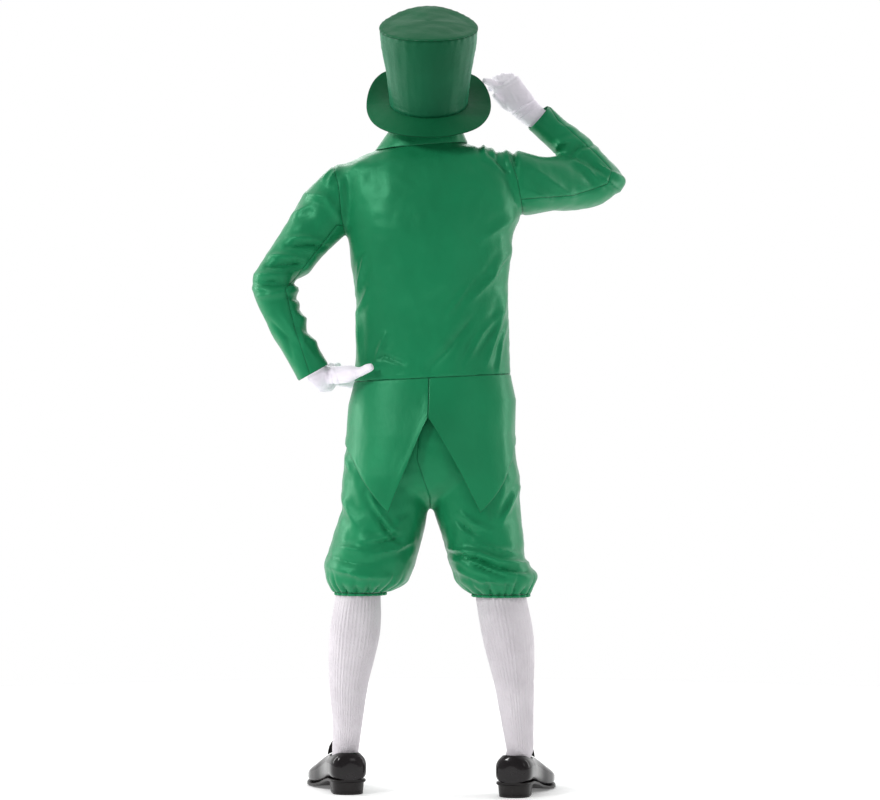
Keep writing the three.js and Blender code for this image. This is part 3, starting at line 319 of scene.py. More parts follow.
# Gloves. The palm's rows are sections as above, and a finger is a row of points (x, y, z) with a radius.
LEFT_PALM = [
    (256.2, 1007.8, 292, 985, 61, 21),
    (246.1, 992.8, 284, 966, 59, 21),
    (236.6, 988.2, 274, 948, 50, 22),
    (224.2, 1003, 256, 934, 22, 18),
    (214, 1004, 236, 937, -26, 14),
]
LEFT_FINGERS = [
    [(224, -14, 987, 11), (215, -58, 986, 11), (180, -110, 984, 10), (150, -126, 982, 7)],
    [(226, -14, 976, 11), (215, -60, 975, 11), (176, -116, 971, 10), (142, -132, 969, 7)],
    [(228, -14, 966, 11), (217, -60, 965, 10.5), (181, -115, 961, 10), (150, -132, 959, 7)],
    [(229, -12, 960, 10), (219, -52, 958, 9.5), (195, -99, 953, 9), (174, -119, 950, 6)],
    [(246.4, 36, 976, 19), (220, 60, 974, 21), (197, 76, 976, 21), (180, 88, 979, 18), (162, 97, 981, 11.5),
     (142, 108, 990, 10.5), (132, 113, 994, 8)],
]
RIGHT_PALM = [
    (-246.7, 1555.7, -290, 1583, -81, 23),
    (-212.5, 1574.3, -262, 1611, -80, 27),
    (-170, 1616, -232, 1650, -86, 19),
    (-148, 1646, -208, 1684, -92, 15),
]
RIGHT_FINGERS = [
    [(-163, -90, 1648, 11), (-153, -92, 1659, 10.5), (-141, -84, 1667, 9.5), (-125.5, -72.3, 1669.1, 7)],
    [(-171, -92, 1660, 11), (-160, -114, 1676, 11), (-148, -138, 1671, 9.5), (-142, -152, 1652, 6)],
    [(-185, -92, 1664, 11), (-175, -115, 1683, 11), (-165, -140, 1678, 9.5), (-159, -154, 1657, 6)],
    [(-199, -92, 1666, 10), (-191, -112, 1684, 9.5), (-183, -134, 1678, 8.5), (-178, -148, 1660, 6)],
    [(-206, -84, 1606, 14), (-182, -86, 1611, 11.5), (-163, -76, 1626, 9), (-150, -64, 1637, 6)],
]

# Shoes, in their own frame: s from the back of the heel to the toe, t across, z up
SHOE_SPLAY = 15
SHOES = {"left": (183, 72, 1), "right": (-187, 133, -1)}
SHOE_FORM = [
    (1, 22, 34.2, 84),
    (7, 35, 34.1, 96),
    (24, 42.5, 34, 101),
    (64, 42.5, 33, 97),
    (104, 41, 26, 90),
    (140, 42, 16, 84),
    (176, 48, 9, 70),
    (212, 51, 7, 56),
    (245, 46, 8, 46),
    (270, 34, 10, 38),
    (284, 18, 13, 31),
]
SHOE_MOUTH = (8, 112, 33.5)  # start, end, half width
MOUTH_BOTTOM = 62
SOLE_THICKNESS = 5
SOLE_LIP = 3
HEEL = (-2, 74, 38)  # start, length, half width
HEEL_LAYERS = [  # height on the floor, or below the sole where it is negative, share of its size, inset
    (0.0, 0.94, 1.2), (0.8, 0.94, 0.2), (6.0, 0.945, 0.0), (6.4, 0.94, 0.5),
    (6.9, 0.94, 0.5), (7.3, 0.946, 0.0), (-0.8, 1.0, 0.0), (-0.6, 1.0, 0.8),
]
SOLE_LAYERS = [(-0.9, 1.2), (-0.8, 0.3), (0.4, -0.4), (4.4, -0.4), (5.2, 0.6)]  # drop below the upper, inset
WELD_DISTANCE = 0.01

# The stocking's foot: place along the shoe and height, half its depth, its lean in degrees, half its width
STOCKING_FOOT = [
    (58, 84, 38, 20, 31),
    (60, 76, 42, 38, 31),
    (68, 67, 40, 55, 31.5),
    (86, 60, 33, 70, 32),
    (112, 55, 29, 82, 33),
    (140, 50, 29, 90, 35),
    (176, 40, 24, 90, 40),
    (212, 32, 19, 90, 42),
    (242, 27, 14, 90, 36),
    (262, 25, 10, 90, 24),
    (270, 23, 5, 90, 10),
]
RIBS = 40
RIB_SIDES = 6
RIB_HEIGHT = 0.75
CABLE_EVERY = 4  # ribs

# Knee casing and button: inset and drop of each ring, and share of the radius and of the height
CASING_SIDES = 240
CASING_PROFILE = [
    (1.0, 0.3), (0.6, 1.4), (0.3, 3.0), (0.3, 5.0),
    (0.7, 6.6), (1.5, 7.2), (2.3, 6.6), (2.6, 4.0),
]
BUTTON_PROFILE = [
    (0.0, 0.62), (0.2, 0.6), (0.45, 0.62), (0.62, 0.74), (0.78, 0.96), (0.88, 1.0),
    (0.96, 0.86), (1.0, 0.5), (0.97, 0.12), (0.9, 0.0), (0.0, 0.0),
]
BUTTON_COUNT = 4

# Photograph's view: straight on, level with the middle of the costume
CAMERA_PLACE = (-0.0234, 8.0, -0.584)
CAMERA_LENS = 139.9

# Soft lights: name, place, the point that they face, width and height in metres, and power in watts
LIGHTS = [
    ("left_side", (2.8, -0.6, 0.3), (0, 0, -0.5), (0.3, 2.4), 44),
    ("right_side", (-2.8, -0.5, 0.0), (0, 0, -0.6), (0.4, 2.4), 20),
    ("key", (3.3, 3.1, 2.0), (0, 0, -0.4), (0.7, 0.9), 98),
    ("fill", (-2.6, 4.0, 0.4), (0, 0, -0.5), (1.2, 1.6), 10),
    ("front", (0.0, -4.0, 1.6), (0, 0, -0.6), (3.0, 2.0), 36),
]
FLOOR_RADIUS = 3.2


# Basic geometry
def smooth_rows(rows, steps):
    """A smooth curve through the rows of a table, column by column."""
    table = np.array(rows, dtype=float)
    result = []
    for i in range(len(table) - 1):
        before, start, end = table[max(i - 1, 0)], table[i], table[i + 1]
        after = table[min(i + 2, len(table) - 1)]
        slope_in, slope_out, rise = (end - before) / 2, (after - start) / 2, end - start
        for step in range(steps):
            t = step / steps
            bend = t * (1 - t)
            result.append(start + rise * t + bend * ((1 - t) * (slope_in - rise) - t * (slope_out - rise)))
    result.append(table[-1])
    return np.array(result)


def unit(vectors):
    return vectors / np.maximum(np.linalg.norm(vectors, axis=-1, keepdims=True), 1e-9)


def sections_from_edges(rows, steps=1, upright=False):
    """(centres, across, depth, along) of a tube's sections, as in the solids, at steps times as many rows."""
    table = smooth_rows(rows, steps)
    edge_one = np.stack([table[:, 0], table[:, 4], table[:, 1]], axis=1)
    edge_two = np.stack([table[:, 2], table[:, 4], table[:, 3]], axis=1)
    centres = (edge_one + edge_two) / 2
    across = (edge_one - edge_two) / 2
    along = unit(np.gradient(centres, axis=0))
    if upright:
        depth = np.tile([0.0, 1.0, 0.0], (len(table), 1))
        along = np.tile([0.0, 0.0, np.sign(centres[-1, 2] - centres[0, 2])], (len(table), 1))
    else:
        depth = unit(np.cross(along, across))
        for i in range(len(depth)):
            reference = depth[i - 1] if i else np.array([0.0, 1.0, 0.0])
            if depth[i] @ reference < 0:
                depth[i] = -depth[i]
    return centres, across, depth * table[:, 5:6], along


def sections_along_points(points, steps):
    """The same for a round tube through points (x, y, z) with a radius."""
    table = smooth_rows(points, steps)
    centres = table[:, :3]
    along = unit(np.gradient(centres, axis=0))
    across = unit(np.cross(np.tile([0.0, 0.0, 1.0], (len(table), 1)), along))
    depth = unit(np.cross(along, across))
    return centres, across * table[:, 3:4], depth * table[:, 3:4], along


def rounded(value, power):
    """A cosine or sine of a rounded box's outline: 2 is an ellipse and more is squarer."""
    return np.sign(value) * np.abs(value) ** (2 / power)


def ring_points(sections, sides, power=ROUNDNESS, inset=0.0):
    """Points of every section, as an array of rings by sides by 3."""
    centres, across, depth, _ = sections
    angles = np.linspace(0, 2 * math.pi, sides, endpoint=False)
    width = 1 - inset / np.linalg.norm(across, axis=1)
    deep = 1 - inset / np.linalg.norm(depth, axis=1)
    u = rounded(np.cos(angles), power)[None, :, None] * width[:, None, None]
    v = rounded(np.sin(angles), power)[None, :, None] * deep[:, None, None]
    return centres[:, None, :] + u * across[:, None, :] + v * depth[:, None, :]


def extended(sections, start, end):
    """The sections with one more beyond each end, at these distances. 0 adds none."""
    centres, across, depth, along = sections
    if start:
        centres = np.vstack([centres[:1] - along[:1] * start, centres])
        across, depth, along = (np.vstack([part[:1], part]) for part in (across, depth, along))
    if end:
        centres = np.vstack([centres, centres[-1:] + along[-1:] * end])
        across, depth, along = (np.vstack([part, part[-1:]]) for part in (across, depth, along))
    return centres, across, depth, along


def grid_faces(rows, columns, closed):
    faces = []
    last = columns if closed else columns - 1
    for row in range(0, (rows - 1) * columns, columns):
        for j in range(last):
            beside = (j + 1) % columns
            faces.append((row + j, row + beside, row + columns + beside, row + columns + j))
    return faces


def closed_tube(rings):
    """Points and faces of a tube of rings with both ends shut."""
    rows, columns = rings.shape[:2]
    points = rings.reshape(-1, 3).tolist()
    faces = grid_faces(rows, columns, True)
    faces.append(tuple(range(columns)))
    faces.append(tuple((rows - 1) * columns + j for j in range(columns)))
    return points, faces


def add_object(name, data):
    """A new object in the scene."""
    thing = bpy.data.objects.new(name, data)
    bpy.context.scene.collection.objects.link(thing)
    return thing


def mesh_from(name, points, faces):
    """A mesh object from points in millimetres above the floor."""
    rows = np.reshape(points, (-1, 3)).tolist()
    placed = [(x * MM, y * MM, (z - HOLD_HEIGHT) * MM) for x, y, z in rows]
    mesh = bpy.data.meshes.new(name)
    mesh.from_pydata(placed, [], faces)
    mesh.validate()
    return add_object(name, mesh)


def outward(piece):
    """Turns a piece's faces outward."""
    work = bmesh.new()
    work.from_mesh(piece.data)
    bmesh.ops.recalc_face_normals(work, faces=work.faces)
    work.to_mesh(piece.data)
    work.free()
    return piece


def apply_modifiers(piece):
    graph = bpy.context.evaluated_depsgraph_get()
    mesh = bpy.data.meshes.new_from_object(piece.evaluated_get(graph))
    piece.modifiers.clear()
    piece.data = mesh
    return piece


def joined_and_remeshed(name, tubes, voxel, rounds):
    """One closed skin round several closed tubes."""
    points, faces = [], []
    for tube_points, tube_faces in tubes:
        shift = len(points)
        points += tube_points
        faces += [tuple(k + shift for k in face) for face in tube_faces]
    piece = outward(mesh_from(name, points, faces))
    remesh = piece.modifiers.new("skin", "REMESH")
    remesh.mode = "VOXEL"
    remesh.voxel_size = voxel * MM
    smooth = piece.modifiers.new("soften", "SMOOTH")
    smooth.factor = 0.5
    smooth.iterations = rounds
    return apply_modifiers(piece)


# Points of a mesh as arrays in millimetres above the floor
def points_of(mesh):
    flat = np.empty(len(mesh.vertices) * 3)
    mesh.vertices.foreach_get("co", flat)
    points = flat.reshape(-1, 3) / MM
    points[:, 2] += HOLD_HEIGHT
    return points


def normals_of(mesh):
    flat = np.empty(len(mesh.vertices) * 3)
    mesh.vertex_normals.foreach_get("vector", flat)
    return flat.reshape(-1, 3)


def set_points(mesh, points):
    placed = points.copy()
    placed[:, 2] -= HOLD_HEIGHT
    mesh.vertices.foreach_set("co", (placed * MM).ravel())
    mesh.update()


def line_distance(u, v, line):
    """Signed distance to a line of points and how far along it, from 0 to 1. Positive lies to its left."""
    line = np.array(line, dtype=float)
    lengths = np.linalg.norm(np.diff(line, axis=0), axis=1)
    starts = np.concatenate([[0], np.cumsum(lengths)])
    best = np.full(u.shape, 1e9)
    signed = np.zeros(u.shape)
    share = np.zeros(u.shape)
    for k, length in enumerate(lengths):
        along = (line[k + 1] - line[k]) / length
        du, dv = u - line[k][0], v - line[k][1]
        t = np.clip(du * along[0] + dv * along[1], 0, length)
        distance = np.hypot(du - t * along[0], dv - t * along[1])
        nearer = distance < best
        side = np.sign(along[0] * dv - along[1] * du)
        best = np.where(nearer, distance, best)
        signed = np.where(nearer, distance * np.where(side == 0, 1, side), signed)
        share = np.where(nearer, (starts[k] + t) / starts[-1], share)
    return signed, share


def crease_heights(points, creases, middle_y=0.0):
    """How far the cloth stands out at each point because of its creases: a ridge with a fall beside it."""
    height = np.zeros(len(points))
    for side, rise, spread, line in creases:
        signed, share = line_distance(points[:, 0], points[:, 2], line)
        u = signed / (0.72 * spread)
        form = 0.75 * np.exp(-(u**2)) + 0.45 * np.exp(-((2.6 * u) ** 2))
        form -= 0.42 * np.exp(-((u - 1.6) ** 2)) + 0.18 * np.exp(-((u + 1.9) ** 2))
        taper = 0.25 + 0.75 * np.sin(math.pi * np.clip(share, 0.02, 0.98)) ** 0.7
        if side:
            taper = taper * np.clip(0.5 + side * (points[:, 1] - middle_y) / 30, 0, 1)
        height += rise * form * taper
    return height


def ripples(points, scale, seed):
    """Soft uneven noise at each point."""
    shift = Vector((seed * 7.3, seed * 3.1, seed * 5.7))
    return np.array([noise.noise(Vector(p) * (1 / scale) + shift) for p in points.tolist()])


# Cutting a mesh along a field: positive points go to one piece and negative ones to the other
def cut_mesh(work, field):
    values = dict(zip(work.verts, field(bmesh_points(work))))
    crossing = [e for e in work.edges if values[e.verts[0]] * values[e.verts[1]] < 0]
    fresh = []
    for edge in crossing:
        start, end = edge.verts
        share = values[start] / (values[start] - values[end])
        _, middle = bmesh.utils.edge_split(edge, start, share)
        values[middle] = 0.0
        fresh.append(middle)
    bmesh.ops.connect_verts(work, verts=fresh)
    return values


def bmesh_points(work):
    points = np.array([v.co[:] for v in work.verts]) / MM
    points[:, 2] += HOLD_HEIGHT
    return points


def halves(piece, field, names):
    """Splits a piece by a field's sign. A name of None drops that half."""
    work = bmesh.new()
    work.from_mesh(piece.data)
    values = cut_mesh(work, field)
    for index, vertex in enumerate(work.verts):
        vertex.index = index
    sign = [math.copysign(1, sum(values[v] for v in face.verts)) for face in work.faces]
    result = []
    for wanted, name in zip((1, -1), names):
        if name is None:
            continue
        part = work.copy()
        doomed = [face for face, s in zip(part.faces, sign) if s != wanted]
        bmesh.ops.delete(part, geom=doomed, context="FACES")
        mesh = bpy.data.meshes.new(name)
        part.to_mesh(mesh)
        part.free()
        result.append(add_object(name, mesh))
    work.free()
    bpy.data.objects.remove(piece)
    return result


def end_field(sections, which, reach):
    """Negative past a tube's open end and near it, and positive elsewhere."""
    centres, _, _, along = sections
    centre = centres[which]
    way = along[which] * (1 if which else -1)

    def field(points):
        offset = points - centre
        past = offset @ way
        near = np.linalg.norm(offset, axis=1) < reach
        return np.where(near, -past, 1.0)

    return field


def seam_field(line, columns=(0, 2)):
    def field(points):
        return line_distance(points[:, columns[0]], points[:, columns[1]], line)[0]

    return field


def plane_field(column, place):
    return lambda points: points[:, column] - place


# Cloth finish: the distance of each point to its panel's edge, a groove there, small puckers, and thickness
def edge_distances(piece, farthest=60.0):
    mesh = piece.data
    work = bmesh.new()
    work.from_mesh(mesh)
    border = []
    for edge in work.edges:
        if edge.is_boundary:
            a, b = edge.verts[0].co, edge.verts[1].co
            border += [a.copy(), (a + b) / 2]
    work.free()
    if not border:
        return np.full(len(mesh.vertices), farthest)
    tree = kdtree.KDTree(len(border))
    for k, place in enumerate(border):
        tree.insert(place, k)
    tree.balance()
    return np.array([min(tree.find(v.co)[2] / MM, farthest) for v in mesh.vertices])


def finish_cloth(piece, thickness, seam_depth=0.9, pucker=0.5, seed=1.0):
    mesh = piece.data
    edge = edge_distances(piece)
    points = points_of(mesh)
    normals = normals_of(mesh)
    groove = -seam_depth * np.exp(-((edge / 3.0) ** 2))
    bulge = 0.5 * seam_depth * np.exp(-(((edge - 7.0) / 4.0) ** 2))
    puckers = pucker * ripples(points, PUCKER_SCALE, seed) * np.exp(-edge / 12.0)
    set_points(mesh, points + normals * (groove + bulge + puckers)[:, None])
    # The distance to the edge is kept on the mesh, and the cloth materials paint shade along the seams from
    # it.
    layer = mesh.attributes.new("edge", "FLOAT", "POINT")
    layer.data.foreach_set("value", edge)
    shell = piece.modifiers.new("thickness", "SOLIDIFY")
    shell.thickness = thickness * MM
    shell.offset = -1
    shell.use_rim = True
    shell.use_even_offset = False
    apply_modifiers(piece)
    shade_smooth(piece)
    return piece


def shade_smooth(piece, angle=50):
    mesh = piece.data
    mesh.polygons.foreach_set("use_smooth", [True] * len(mesh.polygons))
    work = bmesh.new()
    work.from_mesh(mesh)
    for edge in work.edges:
        if len(edge.link_faces) == 2 and edge.calc_face_angle(0) > math.radians(angle):
            edge.smooth = False
    work.to_mesh(mesh)
    work.free()


# Materials
def principled(name, colour, roughness, **sockets):
    material = bpy.data.materials.new(name)
    material.use_nodes = True
    shader = material.node_tree.nodes["Principled BSDF"]
    shader.inputs["Base Color"].default_value = (*colour, 1)
    shader.inputs["Roughness"].default_value = roughness
    for socket, value in sockets.items():
        shader.inputs[socket.replace("_", " ")].default_value = value
    return material, material.node_tree, shader


def add_node(tree, kind, **settings):
    node = tree.nodes.new(kind)
    for key, value in settings.items():
        if key in node.inputs:
            node.inputs[key].default_value = value
        else:
            setattr(node, key, value)
    return node


def mapped(tree, scale=(1, 1, 1), turn=(0, 0, 0)):
    place = add_node(tree, "ShaderNodeTexCoord")
    mapping = add_node(tree, "ShaderNodeMapping")
    mapping.inputs["Scale"].default_value = scale
    mapping.inputs["Rotation"].default_value = turn
    tree.links.new(place.outputs["Object"], mapping.inputs["Vector"])
    return mapping.outputs["Vector"]


def ramp(tree, source, stops):
    node = add_node(tree, "ShaderNodeValToRGB")
    tree.links.new(source, node.inputs["Fac"])
    node.color_ramp.elements[0].position, node.color_ramp.elements[0].color = stops[0][0], (*stops[0][1], 1)
    node.color_ramp.elements[1].position, node.color_ramp.elements[1].color = stops[-1][0], (*stops[-1][1], 1)
    for place, colour in stops[1:-1]:
        element = node.color_ramp.elements.new(place)
        element.color = (*colour, 1)
    return node.outputs["Color"]


def math_node(tree, operation, a, b=None):
    node = add_node(tree, "ShaderNodeMath", operation=operation)
    for k, value in enumerate((a, b)):
        if value is None:
            continue
        if isinstance(value, (int, float)):
            node.inputs[k].default_value = value
        else:
            tree.links.new(value, node.inputs[k])
    return node.outputs[0]


def noise_output(tree, scale, detail=3.0, vector=None):
    node = add_node(tree, "ShaderNodeTexNoise", Scale=scale, Detail=detail)
    if vector is not None:
        tree.links.new(vector, node.inputs["Vector"])
    else:
        tree.links.new(mapped(tree), node.inputs["Vector"])
    return node.outputs["Fac"]


def bump_chain(tree, shader, layers):
    """layers are (height output, strength, distance in millimetres), one bump over another."""
    normal = None
    for height, strength, distance in layers:
        bump = add_node(tree, "ShaderNodeBump")
        bump.inputs["Strength"].default_value = strength
        bump.inputs["Distance"].default_value = distance * MM
        tree.links.new(height, bump.inputs["Height"])
        if normal is not None:
            tree.links.new(normal, bump.inputs["Normal"])
        normal = bump.outputs["Normal"]
    tree.links.new(normal, shader.inputs["Normal"])


def weave_output(tree, threads_mm, turn):
    """Two crossed bands of threads."""
    bands = []
    for direction in ("X", "Z"):
        wave = add_node(tree, "ShaderNodeTexWave", wave_type="BANDS", bands_direction=direction)
        wave.inputs["Distortion"].default_value = 0.6
        wave.inputs["Scale"].default_value = 1 / (threads_mm * MM) / 3.2
        wave.inputs["Detail"].default_value = 1.0
        tree.links.new(mapped(tree, turn=turn), wave.inputs["Vector"])
        bands.append(wave.outputs["Fac"])
    return math_node(tree, "ADD", bands[0], bands[1])


def seam_output(tree):
    """0 at a panel's edge and 1 from 1.6 mm inside it."""
    edge = add_node(tree, "ShaderNodeAttribute", attribute_name="edge", attribute_type="GEOMETRY")
    return math_node(tree, "MINIMUM", math_node(tree, "DIVIDE", edge.outputs["Fac"], 1.6), 1.0)


def cloth_material(name, dark, light, roughness, sheen, weave_mm=0.9, wrinkle=0.35, seed=0.0,
                   seam_shade=0.52, **sockets):
    """Satin: patches of two colours, painted shade along the seams, uneven gloss, crumples and weave."""
    sockets.update(Sheen_Weight=sheen, Sheen_Roughness=0.4)
    material, tree, shader = principled(name, light, roughness, **sockets)
    patches = noise_output(tree, 7.0, 4.0, mapped(tree, turn=(seed, seed * 2, 0)))
    colour = ramp(tree, patches, [(0.3, dark), (0.7, light)])
    groove = seam_output(tree)
    mix = add_node(tree, "ShaderNodeMix", data_type="RGBA", blend_type="MULTIPLY")
    mix.inputs["Factor"].default_value = 1.0
    # Painted shade: the colour darkens to seam_shade at each panel's edge, where a seam's groove holds shade.
    shadow = ramp(tree, groove, [(0.0, (seam_shade,) * 3), (1.0, (1.0, 1.0, 1.0))])
    tree.links.new(colour, mix.inputs["A"])
    tree.links.new(shadow, mix.inputs["B"])
    tree.links.new(mix.outputs["Result"], shader.inputs["Base Color"])
    gloss = noise_output(tree, 40.0, 3.0)
    wide = add_node(tree, "ShaderNodeMapRange")
    wide.inputs["To Min"].default_value = roughness - 0.06
    wide.inputs["To Max"].default_value = roughness + 0.06
    tree.links.new(gloss, wide.inputs["Value"])
    tree.links.new(wide.outputs["Result"], shader.inputs["Roughness"])
    crumple = noise_output(tree, 22.0, 4.0, mapped(tree, scale=(1.4, 1.4, 0.8), turn=(0.3, 0.2, 0.5)))
    bump_chain(tree, shader, [
        (crumple, wrinkle, 3.0),
        (noise_output(tree, 90.0, 2.0), wrinkle * 0.6, 0.6),
        (weave_output(tree, weave_mm, (0.0, 0.0, 0.785)), 0.25, 0.12),
        (groove, 0.8, 0.8),
    ])
    return material


GREEN_GLOSS = (0.30, 1.0, 0.60, 1)
COAT_LIGHT = (0.010, 0.215, 0.085)
COAT_DARK = (0.008, 0.180, 0.070)
# Each cloth's seam_shade sets how dark its painted shade along the seams is.
coat_cloth = cloth_material(
    "coat_satin_cloth", COAT_DARK, COAT_LIGHT, 0.36, 0.04, seed=0.3, Specular_Tint=GREEN_GLOSS,
)
breeches_cloth = cloth_material(
    "breeches_satin_cloth", COAT_DARK, COAT_LIGHT, 0.35, 0.04, seed=1.1, seam_shade=0.66,
    Specular_Tint=GREEN_GLOSS,
)
casing_cloth = cloth_material(
    "casing_satin_cloth", COAT_DARK, COAT_LIGHT, 0.45, 0.04, seed=1.1, seam_shade=0.95,
    Specular_Tint=GREEN_GLOSS,
)
hat_satin = cloth_material(
    "hat_satin_cloth", (0.002, 0.068, 0.026), (0.004, 0.096, 0.040), 0.40, 0.35, wrinkle=0.4, seed=2.0,
    Sheen_Tint=(0.06, 0.80, 0.42, 1), Specular_IOR_Level=0.35, Specular_Tint=GREEN_GLOSS,
)
brim_cloth = cloth_material(
    "hat_brim_cloth", (0.003, 0.098, 0.036), (0.005, 0.122, 0.046), 0.6, 0.02, seed=2.6,
    Specular_IOR_Level=0.2, Specular_Tint=GREEN_GLOSS,
)
# The gloves give off a little light of their own: painted light that brightens them.
glove_cloth = cloth_material(
    "glove_satin_cloth", (0.78, 0.73, 0.82), (0.88, 0.84, 0.90), 0.42, 0.15, weave_mm=0.7, wrinkle=0.5,
    seed=3.0, Emission_Color=(0.80, 0.74, 0.84, 1), Emission_Strength=0.19,
)


def knit_material():
    """White knit with small loops and soft strands. The ribs are in the mesh."""
    material, tree, shader = principled("stocking_knit", (0.66, 0.62, 0.66), 0.85, Sheen_Weight=0.3)
    patches = noise_output(tree, 14.0, 3.0)
    colour = ramp(tree, patches, [(0.3, (0.60, 0.56, 0.60)), (0.7, (0.70, 0.66, 0.70))])
    tree.links.new(colour, shader.inputs["Base Color"])
    stretched = mapped(tree, scale=(1.0, 1.0, 0.45))
    loops = add_node(tree, "ShaderNodeTexVoronoi", feature="F1", Scale=330.0)
    tree.links.new(stretched, loops.inputs["Vector"])
    strands = noise_output(tree, 120.0, 3.0, mapped(tree, scale=(1.0, 1.0, 0.25)))
    bump_chain(tree, shader, [(strands, 0.7, 1.4), (loops.outputs["Distance"], 0.8, 1.2)])
    return material


def leather_material(name, colour, roughness, coat, gloss=0.22):
    """Smooth leather, rubber or plastic with a clear coat, faint creases and grain."""
    material, tree, shader = principled(name, colour, roughness, Coat_Weight=coat, Coat_Roughness=0.08)
    shader.inputs["Specular IOR Level"].default_value = gloss
    patches = noise_output(tree, 30.0, 3.0)
    darker, lighter = (tuple(c * share for c in colour) for share in (0.8, 1.25))
    shades = ramp(tree, patches, [(0.3, darker), (0.7, lighter)])
    tree.links.new(shades, shader.inputs["Base Color"])
    grain = add_node(tree, "ShaderNodeTexVoronoi", feature="F1", Scale=700.0)
    tree.links.new(mapped(tree), grain.inputs["Vector"])
    creases = noise_output(tree, 26.0, 4.0, mapped(tree, scale=(0.6, 1.6, 1.0)))
    bump_chain(tree, shader, [(creases, 0.25, 1.2), (grain.outputs["Distance"], 0.08, 0.2)])
    return material


knit = knit_material()
leather = leather_material("shoe_gloss_leather", (0.009, 0.007, 0.008), 0.16, 0.22)
sole_rubber = leather_material("shoe_sole_rubber", (0.010, 0.008, 0.008), 0.42, 0.05, 0.25)
button_plastic = leather_material("button_gloss_plastic", (0.018, 0.17, 0.08), 0.22, 0.5)


def register(piece, node, material):
    """Gives a piece its material, hides the solid that it stands for and hangs it under the root."""
    piece.data.materials.clear()
    piece.data.materials.append(material)
    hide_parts(node)
    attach(piece, "root")
    return piece


# Coat body and sleeves: one skin, creased, then cut into its panels
def build_coat():
    """The back, both fronts and the top and under panel of each sleeve."""
    body = sections_from_edges(COAT_BODY, 5, upright=True)
    left = sections_from_edges(LEFT_SLEEVE, 5)
    right = sections_from_edges(RIGHT_SLEEVE, 5)
    tubes = [
        closed_tube(ring_points(extended(body, OPEN_END, OPEN_END), 160)),
        closed_tube(ring_points(extended(left, 0, OPEN_END), 96)),
        closed_tube(ring_points(extended(right, 0, OPEN_END), 96)),
    ]
    skin = joined_and_remeshed("coat_skin", tubes, COAT_VOXEL, 9)
    points = points_of(skin.data)
    height = crease_heights(points, COAT_CREASES)
    height += crease_heights(points, LEFT_SLEEVE_CREASES)
    height += crease_heights(points, RIGHT_SLEEVE_CREASES)
    height += 2.2 * ripples(points * [1, 1, 0.6], 60, 1.0) + 0.9 * ripples(points, 24, 2.0)
    inward = np.clip(height * 1.2, -8, 6.5) - 0.6
    set_points(skin.data, points + normals_of(skin.data) * inward[:, None])
    for sleeve in (left, right):
        skin = halves(skin, end_field(sleeve, -1, CUFF_REACH), ("coat_skin", None))[0]
    left_sleeve, rest = halves(skin, seam_field(LEFT_ARMHOLE), ("sleeve_left", "coat_rest"))
    rest, right_sleeve = halves(rest, seam_field(RIGHT_ARMHOLE), ("coat_rest", "sleeve_right"))
    rest = halves(rest, over_row(COAT_BODY[0], 1), ("coat_rest", None))[0]
    rest = halves(rest, over_row(COAT_BODY[-1], -1), ("coat_rest", None))[0]
    back, front = halves(rest, plane_field(1, 0.0), ("coat_back_panel", "coat_front"))
    panels = [(back, "coat_back")]
    for panel, field, names, nodes in (
        (front, plane_field(0, FRONT_EDGE_X), ("coat_left_front", "coat_right_front"),
         ("coat_front_left", "coat_front_right")),
        (left_sleeve, seam_field(LEFT_SLEEVE_SEAM), ("left_sleeve_top", "left_sleeve_under"),
         ("sleeve_left_top", "sleeve_left_under")),
        (right_sleeve, seam_field(RIGHT_SLEEVE_SEAM[::-1]), ("right_sleeve_top", "right_sleeve_under"),
         ("sleeve_right_top", "sleeve_right_under")),
    ):
        panels += zip(halves(panel, field, names), nodes)
    for piece, node in panels:
        finish_cloth(piece, COAT_CLOTH)
        register(piece, node, coat_cloth)


def over_row(row, sign):
    """The height over a slanted section's line, or under it where the sign is -1."""
    x1, z1, x2, z2, _, _ = row
    slope = (z1 - z2) / (x1 - x2)
    return lambda points: sign * (points[:, 2] - (z1 + slope * (points[:, 0] - x1)))


# Tails and collar: single sheets
def sheet_mesh(name, grid):
    """One open sheet through a grid of points."""
    return mesh_from(name, grid, grid_faces(*grid.shape[:2], False))


def skirt_point(skirt, angle, height):
    """A point of the skirt's form at an angle in radians, where its middle lies at a height."""
    centres, across, depth, _ = skirt
    order = np.argsort(centres[:, 2])
    levels = centres[order, 2]

    def at(values):
        return np.array([np.interp(height, levels, values[order, k]) for k in range(3)])

    u, v = rounded(np.cos(angle), ROUNDNESS), rounded(np.sin(angle), ROUNDNESS)
    return at(centres) + at(across) * u + at(depth) * v


